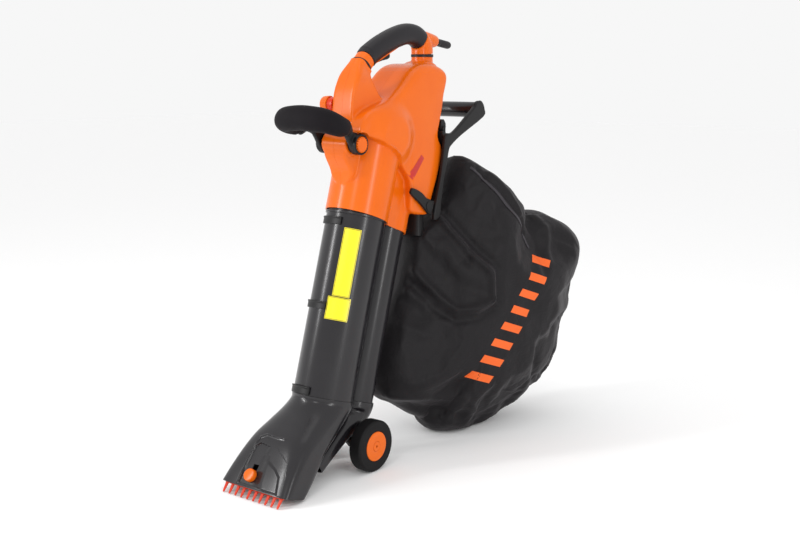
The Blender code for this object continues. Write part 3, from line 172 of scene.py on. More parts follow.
def wovenFinish(name, colour, shade, threadMm, wrinkleMm):
    # coated polyester oxford cloth: a square weave, drawn coarser than its 0.4 mm thread so that it shows
    made, tree, shader, place = startFinish(name, colour, 0.60, ior=1.45, specular=0.28)
    shader.inputs["Sheen Weight"].default_value = 0.25
    shader.inputs["Sheen Roughness"].default_value = 0.45
    shader.inputs["Sheen Tint"].default_value = toLinear("#8a8488")
    threads = []
    for direction in ("X", "Z"):
        threads.append(addNode(tree, "ShaderNodeTexWave", {
            "wave_type": "BANDS", "bands_direction": direction, "Scale": 1000.0 / threadMm / 20.0,
            "Distortion": 0.3, "Detail": 0.0,
        }, {"Vector": (place, "Object")}))
    weave = addNode(tree, "ShaderNodeMath", {"operation": "MULTIPLY"})
    tree.links.new(threads[0].outputs["Fac"], weave.inputs[0])
    tree.links.new(threads[1].outputs["Fac"], weave.inputs[1])
    creases = addNode(tree, "ShaderNodeTexNoise", {"Scale": 1000.0 / wrinkleMm, "Detail": 4.0,
                                                   "Distortion": 0.6}, {"Vector": (place, "Object")})
    # the darker colour follows the hollows of the same noise's wrinkles: painted shade in the creases
    tint = addNode(tree, "ShaderNodeMix", {"data_type": "RGBA"}, {"Factor": (creases, "Fac")})
    tint.inputs["A"].default_value = toLinear(shade)
    tint.inputs["B"].default_value = toLinear(colour)
    tree.links.new(tint.outputs["Result"], shader.inputs["Base Color"])
    fine = addNode(tree, "ShaderNodeBump", {"Strength": 0.35, "Distance": 0.0003},
                   {"Height": (weave, "Value")})
    large = addNode(tree, "ShaderNodeBump", {"Strength": 0.5, "Distance": 0.004},
                    {"Height": (creases, "Fac"), "Normal": (fine, "Normal")})
    tree.links.new(large.outputs["Normal"], shader.inputs["Normal"])
    return made


finish = {
    # ABS, injection moulded and lightly polished: saturated orange, a soft broad highlight
    "mouldedAbsOrange": grained("mouldedAbsOrange", "#e4690c", "#dc5f08", 0.24, 0.9, 0.02, 0.04, 0.03, 1.5,
                                 specular=0.26),
    # polypropylene tubes, extruded and satin: charcoal with a faint violet sheen
    "satinPolypropylene": grained("satinPolypropylene", "#1e1c1f", "#171518", 0.24, 1.2, 0.03, 0.04, 0.03,
                                   1.49, specular=0.45),
    # glass-filled nylon, spark-eroded mould: near black, fine even grain
    "filledNylonBlack": grained("filledNylonBlack", "#171617", "#111011", 0.40, 0.7, 0.04, 0.06,
                                 specular=0.25),
    # foam rubber sleeve, extruded: matte, tiny open cells
    "foamRubber": grained("foamRubber", "#151115", "#0f0c10", 0.72, 1.1, 0.12, 0.08, specular=0.15),
    # thermoplastic rubber moulded over the handle: dark, half matte
    "softOvermould": grained("softOvermould", "#211e22", "#19171a", 0.46, 0.8, 0.05, 0.06, ior=1.48,
                             specular=0.28),
    # solid rubber tyre: matte black, slightly dusty
    "solidTyreRubber": grained("solidTyreRubber", "#151415", "#0d0c0d", 0.60, 1.5, 0.10, 0.10, specular=0.18),
    # acetal comb, moulded: red with an orange cast where it is thin; on the dial's base this red is painted
    # shade
    "mouldedAcetalRed": grained("mouldedAcetalRed", "#d8380e", "#c42c0a", 0.28, 0.9, 0.02, 0.05, 0.03, 1.48,
                                 specular=0.25),
    # zinc-plated steel: cool grey, brushed unevenly by the plating bath
    "zincPlatedSteel": grained("zincPlatedSteel", "#b9bcc0", "#9fa3a8", 0.30, 0.5, 0.02, 0.08, metallic=1.0),
    # enamelled copper wire: warm red-brown metal
    "enamelledCopper": grained("enamelledCopper", "#c8713c", "#a4552a", 0.36, 1.0, 0.10, 0.08, metallic=1.0),
    # vinyl film, printed yellow: even and half glossy
    "vinylYellow": grained("vinylYellow", "#f5e616", "#efdd10", 0.32, 1.0, 0.005, 0.03, 0.2, 1.5),
    # vinyl film, printed black
    "vinylBlack": grained("vinylBlack", "#22201a", "#1a1814", 0.4, 1.0, 0.005, 0.03, 0.1, 1.5),
    # pad-printed red lacquer on the housing
    "padPrintRed": grained("padPrintRed", "#c01a08", "#b01406", 0.38, 1.0, 0.005, 0.03, 0.1, 1.5),
    # screen-print ink on the cloth: orange, taking the weave's roughness
    "screenPrintInk": grained("screenPrintInk", "#ee6a2a", "#e35f22", 0.62, 1.2, 0.15, 0.06, specular=0.3),
    # polyester binding tape over the bag's seam, tighter woven and a little lighter
    "bindingTape": wovenFinish("bindingTape", "#3a373b", "#2f2c30", 0.9, 18.0),
    "wovenPolyester": wovenFinish("wovenPolyester", "#151215", "#0e0c0e", 1.1, 26.0),
}
print("finishes ready:", len(finish))


# shared making steps

acrossX = Vector((1.0, 0.0, 0.0))
axleY = sum(corner.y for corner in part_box("axle")) / 2.0
lean = math.radians(17.0)      # the tubes' slant from upright
tubeUp = Vector((0.0, math.sin(lean), math.cos(lean)))
tubeFront = Vector((0.0, -math.cos(lean), math.sin(lean)))
tubeFoot = Vector((0.0, axleY - 0.0664, 0.1497))
spacing = 0.105      # between the two tubes' axes
slit = 0.0003        # between pieces that fit together


def onTube(along, forward):
    # a point that far up the suction tube's axis, and that far in front of it
    return tubeFoot + tubeUp * along + tubeFront * forward


def place(y, z, x=0.0):
    # millimetres behind the axle and above the ground, as a point in the frame
    return Vector((x / 1000.0, axleY + y / 1000.0, z / 1000.0))


def ramp(value, low, high):
    return min(1.0, max(0.0, (value - low) / (high - low)))


def eased(value, low, high):
    share = ramp(value, low, high)
    return share * share * (3.0 - 2.0 * share)


def inclined(degrees):
    # the way that rises backwards at that slope, and the way square to it
    turn = math.radians(degrees)
    return Vector((0.0, math.cos(turn), math.sin(turn))), Vector((0.0, -math.sin(turn), math.cos(turn)))


def smoothed(points, spans=4, closed=True):
    # a Catmull-Rom curve through tuples of any length
    count = len(points)
    out = []
    for index in range(count if closed else count - 1):
        pick = [points[(index + k) % count] if closed else points[min(max(index + k, 0), count - 1)]
                for k in (-1, 0, 1, 2)]
        for step in range(spans):
            t = step / spans
            weights = (-0.5 * t + t * t - 0.5 * t ** 3, 1.0 - 2.5 * t * t + 1.5 * t ** 3,
                       0.5 * t + 2.0 * t * t - 1.5 * t ** 3, -0.5 * t * t + 0.5 * t ** 3)
            out.append(tuple(sum(w * p[k] for w, p in zip(weights, pick)) for k in range(len(points[0]))))
    if not closed:
        out.append(tuple(points[-1]))
    return out


def oval(centre, across, deep, halfWidth, halfDepth, squareness=2.0, count=48):
    # a ring in the plane of two directions: an ellipse at squareness 2, boxier above it
    ring = []
    for step in range(count):
        turn = 2.0 * math.pi * (step + 0.5) / count
        a = math.copysign(abs(math.cos(turn)) ** (2.0 / squareness), math.cos(turn)) * halfWidth
        b = math.copysign(abs(math.sin(turn)) ** (2.0 / squareness), math.sin(turn)) * halfDepth
        ring.append(centre + across * a + deep * b)
    return ring


def bendSheet(bm, rows, closed=True):
    # bends a grid so that each of its rows lies on one ring of points
    columns = len(rows[0]) if closed else len(rows[0]) - 1
    last = len(rows) - 1
    grid = bmesh.ops.create_grid(bm, x_segments=columns, y_segments=last, size=0.5)["verts"]
    for vert in grid:
        column = round((vert.co.x + 0.5) * columns)
        row = round((vert.co.y + 0.5) * last)
        vert.co = rows[row][column % len(rows[0])]
    bmesh.ops.remove_doubles(bm, verts=grid, dist=1e-6)


def lofted(rows, closed=True, capped=True):
    bm = bmesh.new()
    bendSheet(bm, rows, closed)
    if capped:
        bmesh.ops.holes_fill(bm, edges=[edge for edge in bm.edges if edge.is_boundary])
        bmesh.ops.triangulate(bm, faces=[face for face in bm.faces if len(face.verts) > 4])
    bmesh.ops.recalc_face_normals(bm, faces=bm.faces)
    return bm


def shellForm(outer, inner):
    # a tube with a wall, open at both ends
    return lofted(outer + inner[::-1] + outer[:1], capped=False)


def doubled(inner, outer):
    # a thin sheet from the rows of its two faces
    return lofted([line + other[::-1] for line, other in zip(inner, outer)])


def merged(*forms):
    # one bmesh that holds all the forms, still as separate closed skins
    bm = bmesh.new()
    for form in forms:
        scratch = bpy.data.meshes.new("scratch")
        form.to_mesh(scratch)
        form.free()
        bm.from_mesh(scratch)
        bpy.data.meshes.remove(scratch)
    return bm


def asObject(name, bm):
    mesh = bpy.data.meshes.new(name)
    bm.to_mesh(mesh)
    bm.free()
    made = bpy.data.objects.new(name, mesh)
    bpy.context.scene.collection.objects.link(made)
    return made


def applyAll(piece):
    # the evaluated mesh takes the place of the mesh and its modifiers
    depsgraph = bpy.context.evaluated_depsgraph_get()
    mesh = bpy.data.meshes.new_from_object(piece.evaluated_get(depsgraph))
    piece.modifiers.clear()
    old = piece.data
    piece.data = mesh
    bpy.data.meshes.remove(old)
    return piece


def reshaped(piece, change):
    # lets a function edit the piece's mesh
    bm = bmesh.new()
    bm.from_mesh(piece.data)
    change(bm)
    bm.to_mesh(piece.data)
    bm.free()
    return piece


def fused(name, bm, voxel, passes=2):
    # fuses overlapping skins into one and rounds the joins, as a mould does
    piece = asObject(name, bm)
    remesh = piece.modifiers.new("remesh", "REMESH")
    remesh.mode = "VOXEL"
    remesh.voxel_size = voxel
    applyAll(piece)

    def relax(bm):
        for _ in range(passes):
            bmesh.ops.smooth_vert(bm, verts=bm.verts, factor=0.5, use_axis_x=True, use_axis_y=True,
                                  use_axis_z=True)

    return reshaped(piece, relax)


def carve(piece, *cutters):
    for cutter in cutters:
        tool = asObject("cutter", cutter)
        step = piece.modifiers.new("carve", "BOOLEAN")
        step.operation = "DIFFERENCE"
        step.solver = "EXACT"
        step.object = tool
        applyAll(piece)
        bpy.data.objects.remove(tool)


def settle(piece, look, body, slotName, nodes=(), crease=38.0):
    # a finished piece: its look, its body, the nodes that it stands for
    mesh = piece.data
    mesh.materials.clear()
    mesh.materials.append(finish[look])
    mesh.shade_smooth()
    mesh.set_sharp_from_angle(angle=math.radians(crease))
    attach(piece, body)
    if nodes:
        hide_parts(*nodes)
    return piece


def make(name, form, *finishing):
    return settle(asObject(name, form), *finishing)


def spunAbout(centre, axis, profile, steps=64, closed=False):
    # spins a profile of (along, radius) about an axis through the centre
    axis = Vector(axis).normalized()
    away = axis.orthogonal().normalized()
    bm = bmesh.new()
    verts = [bm.verts.new(Vector(centre) + axis * along + away * radius) for along, radius in profile]
    pairs = list(zip(verts, verts[1:]))
    if closed:
        pairs.append((verts[-1], verts[0]))
    edges = [bm.edges.new(pair) for pair in pairs]
    bmesh.ops.spin(bm, geom=verts + edges, cent=centre, axis=axis, angle=2.0 * math.pi, steps=steps,
                   use_merge=True)
    bmesh.ops.remove_doubles(bm, verts=bm.verts, dist=1e-6)
    bmesh.ops.recalc_face_normals(bm, faces=bm.faces)
    return bm


def rounded(profile, radius, steps=4, closed=False):
    # replaces each inner corner of a profile with a short arc
    out = []
    last = len(profile)
    for index in range(last):
        here = Vector(profile[index])
        if not closed and index in (0, last - 1):
            out.append(tuple(here))
            continue
        before = Vector(profile[index - 1])
        after = Vector(profile[(index + 1) % last])
        reach = min(radius, (before - here).length * 0.45, (after - here).length * 0.45)
        start = here + (before - here).normalized() * reach
        end = here + (after - here).normalized() * reach
        for step in range(steps + 1):
            share = step / steps
            out.append(tuple(start.lerp(here, share).lerp(here.lerp(end, share), share)))
    return out


def spunAcross(centre, profile, edge=0.0, steps=64, hand=1, closed=False, arc=4):
    # a profile of (along X, radius) spun about X, its corners rounded; hand -1 mirrors it
    points = [(hand * along, radius) for along, radius in profile]
    if edge:
        points = rounded(points, edge, arc, closed)
    return spunAbout(centre, acrossX, points, steps, closed)


def pin(centre, low, high, radius, edge=0.0, steps=64, hand=1):
    return spunAcross(centre, [(low, 0.0), (low, radius), (high, radius), (high, 0.0)], edge, steps, hand)


def washer(centre, low, high, bore, radius, edge, hand=1, arc=4):
    profile = [(low, bore), (low, radius), (high, radius), (high, bore)]
    return spunAcross(centre, profile, edge, 64, hand, True, arc)


def drawnIn(outline, distances):
    # the outline moved inwards, each corner along its own bisector by its own distance
    area = sum(a[0] * b[1] - b[0] * a[1] for a, b in zip(outline, outline[1:] + outline[:1]))
    turn = 1.0 if area > 0.0 else -1.0
    moved = []
    for index, here in enumerate(outline):
        here = Vector(here)
        incoming = (here - Vector(outline[index - 1])).normalized()
        outgoing = (Vector(outline[(index + 1) % len(outline)]) - here).normalized()
        inner = (Vector((-incoming.y, incoming.x)) * turn, Vector((-outgoing.y, outgoing.x)) * turn)
        bisector = (inner[0] + inner[1]).normalized()
        moved.append(here + bisector * (distances[index] / max(0.6, bisector.dot(inner[0]))))
    return moved


def slab(points, lowX, highX, spans=4, steps=5, crown=0.0, middle=None):
    # a side outline of (y, z, edge radius) in mm, drawn out along X between two metres, its rims rounded
    ring = smoothed(points, spans) if spans > 1 else list(points)
    outline = [tuple(place(y, z).yz) for y, z, _ in ring]
    edges = [edge / 1000.0 for _, _, edge in ring]
    rows = []
    for hand, wall in ((-1, lowX), (1, highX)):
        half = []
        for step in range(steps + 1):
            turn = math.radians(90.0 * step / steps)
            inner = drawnIn(outline, [edge * (1.0 - math.cos(turn)) for edge in edges])
            half.append([Vector((wall - hand * edge * (1.0 - math.sin(turn)), p.x, p.y))
                         for p, edge in zip(inner, edges)])
        if crown:
            for share, rise in ((0.75, 0.5), (0.45, 0.85), (0.15, 1.0)):
                half.append([Vector((wall + hand * crown * rise, middle.y + (p.y - middle.y) * share,
                                     middle.z + (p.z - middle.z) * share)) for p in half[steps]])
        rows += list(reversed(half)) if hand < 0 else half
    return lofted(rows)


def rod(path, radii, over, count):
    # round rings square to a path
    rows = []
    for index, here in enumerate(path):
        ahead = (path[min(index + 1, len(path) - 1)] - path[max(index - 1, 0)]).normalized()
        across = ahead.cross(over).normalized()
        rows.append(oval(here, across, across.cross(ahead).normalized(), radii[index], radii[index], 2.0,
                         count))
    return lofted(rows)


def tubePatch(radius, lowAlong, highAlong, lowTurn, highTurn, thick, columns=24, rows=4):
    # a curved plate on the suction tube; it turns in degrees from the front towards the right side
    turns = [math.radians(lowTurn + (highTurn - lowTurn) * column / columns) for column in range(columns + 1)]
    faces = []
    for reach in (radius, radius + thick):
        faces.append([[onTube(lowAlong + (highAlong - lowAlong) * row / rows, 0.0)
                       + (tubeFront * math.cos(turn) - acrossX * math.sin(turn)) * reach for turn in turns]
                      for row in range(rows + 1)])
    return doubled(*faces)


def sideTree(piece):
    return BVHTree.FromPolygons([vert.co for vert in piece.data.vertices],
                                [tuple(polygon.vertices) for polygon in piece.data.polygons])


def patchOn(tree, cast, corners, columns, rows, lift, thick):
    # a thin sheet that lies on a surface between four corners; cast gives each spot's ray
    faces = []
    for layer in (lift, lift + thick):
        face = []
        for row in range(rows + 1):
            line = []
            for column in range(columns + 1):
                low = corners[0].lerp(corners[1], column / columns)
                high = corners[3].lerp(corners[2], column / columns)
                hit = tree.ray_cast(*cast(low.lerp(high, row / rows)))
                line.append(hit[0] + hit[1] * layer)
            face.append(line)
        faces.append(face)
    return doubled(*faces)


# the orange motor housing, fused from its own forms and parted down the middle

housing = {
    "halfWidth": 0.0605,
    "side": (   # mm behind the axle, mm above the ground, edge radius
        (159, 597, 5), (143, 619, 5), (124, 639, 4.5), (103, 657, 4.5), (80, 673, 4.5), (54, 687, 4.5),
        (26, 698, 4.5), (0, 704, 4), (-3, 712, 5), (4, 727, 9), (20, 744, 14), (52, 759, 17), (99, 773, 18),
        (141, 800, 20), (189, 838, 22), (238, 847, 20), (282, 836, 16), (295, 815, 12), (284, 777, 12),
        (280, 755, 12), (270, 722, 11), (261, 690, 9), (277, 662, 9), (274, 640, 9), (261, 600, 11),
        (238, 548, 12), (229, 521, 8), (167, 529, 8), (160, 560, 6),
    ),
    "crown": 0.0025,
    "crownMiddle": (160, 700),
    "rib": (
        (118, 738, 8), (137, 783, 9), (163, 802, 10), (187, 818, 11), (211, 831, 11), (230, 841, 10),
        (246, 848, 9), (262, 852, 9), (282, 850, 9), (298, 838, 9), (286, 800, 9), (240, 740, 9),
    ),
    "ribHalfWidth": 0.031,
    "neck": (
        (1, 640, 5), (1, 668, 4), (4, 730, 3), (9, 779, 4), (18, 806, 6), (33, 833, 10), (50, 856, 15),
        (58, 862, 15), (87, 833, 14), (80, 824, 12), (82, 810, 8), (88, 796, 6), (98, 781, 6), (114, 762, 6),
        (120, 700, 6), (60, 640, 6),
    ),
    "neckHalfWidth": 0.028,
    "taper": 0.62, "taperLength": 0.045,
    "neckEnd": {"place": (66.5, 841.5), "slope": 46.0, "shift": 0.0005},
    "rearEnd": (277.5, 862), "endReach": 0.040,
    "rearCollar": ((800, 0.030, 0.034), (838, 0.0235, 0.0270), (850, 0.0215, 0.0248), (868, 0.0212, 0.0245)),
    "rearSquareness": 2.35,
    "flare": 2.2, "flareFrom": 0.010,
    "boss": {"place": (2, 684), "radius": 0.024, "halfWidth": 0.033, "edge": 0.0015},
    "dome": {"place": (95, 697), "radius": 0.078, "rise": 0.012, "shoulder": 0.55,
             "outFrom": (0.040, 0.058), "aboveFoot": (-0.002, 0.002)},
    "tongue": {"halfWidth": 0.030, "top": 0.692, "footMiddle": 0.628, "front": 0.5, "back": 60, "edge": 0.005,
               "bulge": 0.0205, "bulgeFrom": 0.620, "bulgeTo": 0.672},
    "sleeve": {"suction": 0.0675, "blower": 0.0445, "low": 0.402, "high": 0.575, "web": 0.041,
               "tucked": 0.0565, "slant": 0.080, "spare": 0.030, "tuckOver": (0.003, 0.009),
               "cutReach": 0.240},
    "armRelief": {"radius": 0.025, "low": 0.0375, "high": 0.100, "edge": 0.001},
    "mark": {"corners": ((193, 653), (203, 645), (164, 601), (150, 613)), "lift": 0.0002, "thick": 0.0003,
             "rows": 6, "columns": 12},
    "screw": {"place": (112, 545), "radius": 0.0028, "lift": 0.0002, "deep": 0.0010, "proud": 0.0004,
              "edge": 0.0003},
    "voxel": 0.0019,
    "softening": 2,
    "wall": 0.0028,
    "parting": 0.00015,
}


def panelFoot(y):
    # the height of the side panel's lower front edge there
    edge = [place(*spot[:2]).yz for spot in reversed(housing["side"][:8])]
    for a, b in zip(edge, edge[1:]):
        if y < b.x:
            return a.y + (b.y - a.y) * max(0.0, (y - a.x) / (b.x - a.x))
    return edge[-1].y - (y - edge[-1].x) * 4.0


def twinSleeve(low, high):
    values = housing["sleeve"]
    outline = []
    for radius, middle, first, steps in ((values["suction"], 0.0, 0.0, 60),
                                         (values["blower"], -spacing, math.pi, 40)):
        half = math.asin(values["web"] / radius)
        for step in range(steps + 1):
            turn = first + half + (2.0 * math.pi - 2.0 * half) * step / steps
            outline.append((radius * math.sin(turn), middle - radius * math.cos(turn)))
    rows = []
    for step in range(33):
        along = low + (high - low) * step / 32
        ring = [onTube(along, forward) + acrossX * across for across, forward in outline]
        for spot in ring:
            # above the side panel's lower edge the sleeve keeps inside the panel
            hold = ramp(spot.z - panelFoot(spot.y), *values["tuckOver"])
            out = abs(spot.x)
            spot.x = math.copysign(out + (min(out, values["tucked"]) - out) * hold, spot.x)
        rows.append(ring)
    return lofted(rows)


def tongueForm():
    # the apron under the clamp's boss, bulging to meet it
    values = housing["tongue"]
    half, foot, edge = values["halfWidth"], values["footMiddle"], values["edge"]
    heights = [values["top"] + (foot - values["top"]) * step / 8 for step in range(8)]
    outline = [(-half, z) for z in heights]
    for step in range(25):
        turn = math.pi + math.pi * step / 24
        outline.append((half * math.cos(turn), foot + half * math.sin(turn)))
    outline += [(half, z) for z in reversed(heights)]
    rows = []
    for step in range(5):
        turn = math.radians(22.5 * step)
        shrink = 1.0 - edge * (1.0 - math.sin(turn)) / half
        front = axleY + values["front"] / 1000.0 + edge * (1.0 - math.cos(turn))
        rows.append([Vector((x * shrink,
                             front - values["bulge"] * eased(z, values["bulgeFrom"], values["bulgeTo"]),
                             foot + (z - foot) * shrink)) for x, z in outline])
    rows.append([Vector((x, axleY + values["back"] / 1000.0, z)) for x, z in outline])
    return lofted(rows)


def neckPlane():
    # the middle of the neck's end, and the way that the end faces
    values = housing["neckEnd"]
    away = inclined(values["slope"])[0]
    return place(*values["place"]) + away * values["shift"], away


def shapeNeck(neck):
    # it widens to the rear, and narrows to the handle's own width at its end
    middle, away = neckPlane()
    for vert in neck.verts:
        vert.co.x *= 1.0 + housing["flare"] * max(0.0, vert.co.y - axleY - housing["flareFrom"])
        hold = eased((vert.co - middle).dot(away), -housing["taperLength"], 0.0)
        vert.co.x *= 1.0 + (housing["taper"] - 1.0) * hold


def raiseDome(bm):
    # a shallow round swelling on the left panel, over the fan
    dome = housing["dome"]
    centre = place(*dome["place"])
    for vert in bm.verts:
        share = 1.0 - math.hypot(vert.co.y - centre.y, vert.co.z - centre.z) / dome["radius"]
        hold = ramp(vert.co.x, *dome["outFrom"]) * ramp(vert.co.z - panelFoot(vert.co.y), *dome["aboveFoot"])
        vert.co.x += dome["rise"] * hold * eased(share, 0.0, dome["shoulder"])


def trim(bm, spot, away, reach):
    # opens a form: cuts off what lies beyond a plane, within a reach of the spot
    near = [face for face in bm.faces if (face.calc_center_median() - spot).length < reach]
    geometry = set(near)
    for face in near:
        geometry.update(face.verts)
        geometry.update(face.edges)
    bmesh.ops.bisect_plane(bm, geom=list(geometry), plane_co=spot, plane_no=away)
    gone = [face for face in bm.faces if (face.calc_center_median() - spot).length < reach
            and (face.calc_center_median() - spot).dot(away) > 1e-6]
    bmesh.ops.delete(bm, geom=gone, context="FACES")


def openEnds(bm):
    # cut open where the handle and the tubes enter
    sleeve = housing["sleeve"]
    trim(bm, *neckPlane(), housing["endReach"])
    trim(bm, place(*housing["rearEnd"]), Vector((0.0, 0.0, 1.0)), housing["endReach"])
    trim(bm, onTube(sleeve["low"], sleeve["suction"]), -(tubeUp - tubeFront * sleeve["slant"]).normalized(),
         sleeve["cutReach"])


def shellHalf(whole, hand):
    bm = bmesh.new()
    bm.from_mesh(whole.data)
    bmesh.ops.bisect_plane(bm, geom=bm.verts[:] + bm.edges[:] + bm.faces[:],
                           plane_co=(hand * housing["parting"], 0.0, 0.0), plane_no=(-hand, 0.0, 0.0),
                           clear_outer=True)
    piece = asObject("leftHousing" if hand > 0 else "rightHousing", bm)
    wall = piece.modifiers.new("wall", "SOLIDIFY")
    wall.thickness = housing["wall"]
    wall.offset = -1.0
    return applyAll(piece)


def addMarks(shell):
    # the red band on the left panel, and the small screw at the crease's foot
    def cast(spot):
        return place(spot.x, spot.y, 150.0), -acrossX

    skin = sideTree(shell)
    mark, screw = housing["mark"], housing["screw"]
    make("redBand", patchOn(skin, cast, [Vector(corner) for corner in mark["corners"]], mark["columns"],
                            mark["rows"], mark["lift"], mark["thick"]),
         "padPrintRed", "machine", "orange_plastic")
    hit = skin.ray_cast(*cast(Vector(screw["place"])))
    deep, proud, radius = screw["deep"], screw["proud"], screw["radius"]
    make("sleeveScrew", spunAbout(hit[0] + hit[1] * screw["lift"], hit[1], rounded(
        [(-deep, 0.0), (-deep, radius), (proud, radius), (proud, 0.0)], screw["edge"]), 24),
         "zincPlatedSteel", "machine", "steel")


def buildHousing():
    values = housing
    main = slab(values["side"], -values["halfWidth"], values["halfWidth"], crown=values["crown"],
                middle=place(*values["crownMiddle"]))
    rib = slab(values["rib"], -values["ribHalfWidth"], values["ribHalfWidth"])
    neck = slab(values["neck"], -values["neckHalfWidth"], values["neckHalfWidth"])
    shapeNeck(neck)
    collar = lofted([oval(place(values["rearEnd"][0], z), acrossX, Vector((0.0, 1.0, 0.0)), wide, deep,
                          values["rearSquareness"], 64) for z, wide, deep in values["rearCollar"]])
    boss, sleeve, relief = values["boss"], values["sleeve"], values["armRelief"]
    pivot = place(*boss["place"])
    bossForm = pin(pivot, -boss["halfWidth"], boss["halfWidth"], boss["radius"], boss["edge"], 48)
    whole = fused("housingForm", merged(main, rib, neck, collar, bossForm, tongueForm(),
                                        twinSleeve(sleeve["low"] - sleeve["spare"], sleeve["high"])),
                  values["voxel"], values["softening"])
    reshaped(whole, raiseDome)
    carve(whole, *(pin(pivot, relief["low"], relief["high"], relief["radius"], relief["edge"], hand=hand)
                   for hand in (-1, 1)))
    reshaped(whole, openEnds)
    halves = [shellHalf(whole, hand) for hand in (1, -1)]
    bpy.data.objects.remove(whole)
    for half, node in zip(halves, ("body_left_shell", "body_right_shell")):
        settle(half, "mouldedAbsOrange", "machine", "orange_plastic", (node,))
    addMarks(halves[0])
    print("housing:", [len(half.data.polygons) for half in halves])


buildHousing()


# the top handle: an orange core with a soft sleeve, its trigger, lock button and inlet stub

topHandle = {
    "stations": (   # mm behind the axle, mm above the ground, slope in degrees, half depth, half width
        (66.5, 841.5, 46, 20.5, 20.0), (76, 850, 42, 20.8, 20.0), (88, 860.5, 38, 21.2, 20.0),
        (95, 865.5, 34, 21.4, 20.0), (130, 883, 24, 21.6, 20.0), (175, 900, 18, 21.8, 20.0),
        (215, 909.5, 7, 22.0, 20.0), (245, 908, -14, 22.4, 20.0), (264, 899, -36, 23.0, 20.4),
        (274, 888, -58, 24.5, 21.0), (277, 878, -75, 25.0, 21.5), (278, 867, -84, 25.0, 21.5),
    ),
    "squareness": 2.35,
    "steps": 8, "gripFrom": 12, "gripTo": 64,      # the grip's ends, in steps along the stations
    "gripDepth": 22.5, "gripWidth": 20.5, "coreLess": 4.8,
    "stripSlope": 24.0, "stripBase": (130, 883),
    "strip": {
        # low and high along the grip, under and over it, half width, edge
        "outer": (-0.046, 0.052, -0.0245, -0.0120, 0.0100, 0.003),
        "slot": (-0.0355, 0.0200, -0.0500, -0.0010, 0.0066),
        "window": (-0.0466, 0.0526, -0.0400, -0.0124, 0.0106, 0.0025),
        "trigger": ((-0.0345, -0.0085), (0.0165, -0.0095), (0.0172, -0.0240), (0.0140, -0.0325),
                    (0.0050, -0.0325), (-0.0120, -0.0280), (-0.0345, -0.0240)),
        "triggerHalfWidth": 0.0060,
    },
    "inlet": {
        # its shapes are pairs of how far along and how wide
        "place": (318, 896.5), "slope": -8.0,
        "boss": ((-0.046, 0.0165), (-0.030, 0.0162), (-0.012, 0.0152), (0.002, 0.0138), (0.006, 0.0126)),
        "hole": ((-0.010, 0.0090), (0.030, 0.0090)),
        "stub": ((-0.0097, 0.0085), (0.010, 0.0085), (0.012, 0.0079), (0.014, 0.0085), (0.020, 0.0085),
                 (0.022, 0.0079), (0.024, 0.0085), (0.052, 0.0085), (0.0565, 0.0083), (0.060, 0.0074),
                 (0.0625, 0.0056), (0.063, 0.0040)),
    },
    "lock": {   # the button and its holes: from, to, radius, edge
        "place": (88, 860.5), "hole": (-0.060, -0.0150, 0.0056), "window": (-0.060, -0.0100, 0.0060),
        "button": (-0.0120, -0.0245, 0.0050, 0.0012),
    },
    "rings": (
        # name, node, station, then how far in and how far along each of its four rims lies
        ("frontRing", "front_ring", (66.5, 841.5, 46, 19.5, 19.0),
         ((-0.6, 0.0002), (-1.8, 0.0008), (-1.8, 0.0044), (-0.6, 0.0050))),
        ("rearRing", "rear_ring", (278, 867, -90, 24.0, 20.5),
         ((-0.6, -0.0004), (-1.8, 0.0003), (-1.8, 0.0056), (-0.6, 0.0062))),
    ),
    "voxel": 0.0012,
}


def handleRing(station, less=0.0, shift=0.0, depth=None, width=None):
    y, z, slope, ownDepth, ownWidth = station
    ahead, over = inclined(slope)
    return oval(place(y, z) + ahead * shift, acrossX, over, ((width or ownWidth) - less) / 1000.0,
                ((depth or ownDepth) - less) / 1000.0, topHandle["squareness"], 64)


def onStrip(along, over, x=0.0):
    ahead, up = inclined(topHandle["stripSlope"])
    return place(*topHandle["stripBase"]) + ahead * along + up * over + acrossX * x


def stripForm(points, halfWidth, edge=0.0):
    # a side outline given along and over the grip, drawn out to both sides
    bm = lofted([[onStrip(a, b, x) for a, b in points] for x in (-halfWidth, halfWidth)])
    bmesh.ops.dissolve_limit(bm, angle_limit=0.01, verts=bm.verts, edges=bm.edges)
    if edge:
        bmesh.ops.bevel(bm, geom=bm.edges[:], offset=edge, affect="EDGES", segments=3, profile=0.5,
                        material=-1)
    return bm


def stripBox(low, high, under, over, halfWidth, edge=0.0):
    return stripForm([(low, under), (high, under), (high, over), (low, over)], halfWidth, edge)


def inletRings(*pairs):
    values = topHandle["inlet"]
    ahead, over = inclined(values["slope"])
    return [oval(place(*values["place"]) + ahead * along, acrossX, over, radius, radius, 2.0, 40)
            for along, radius in pairs]


def coreForm(spans):
    # the core steps in under the sleeve, between the grip's two ends
    values = topHandle
    start, end, less = values["gripFrom"], values["gripTo"], values["coreLess"]
    rows = []
    for index, station in enumerate(spans):
        if index == start:
            rows += [handleRing(station, 0.6), handleRing(station, less, 0.0006)]
        elif index == end:
            rows += [handleRing(station, less, 0.0038), handleRing(station, 0.8, 0.0042),
                     handleRing(station, 0.0, 0.0050)]
        elif start < index < end:
            rows.append(handleRing(station, 0.0, 0.0, values["gripDepth"] - less, values["gripWidth"] - less))
        elif not end < index < end + 4:
            rows.append(handleRing(station))
    return lofted(rows)


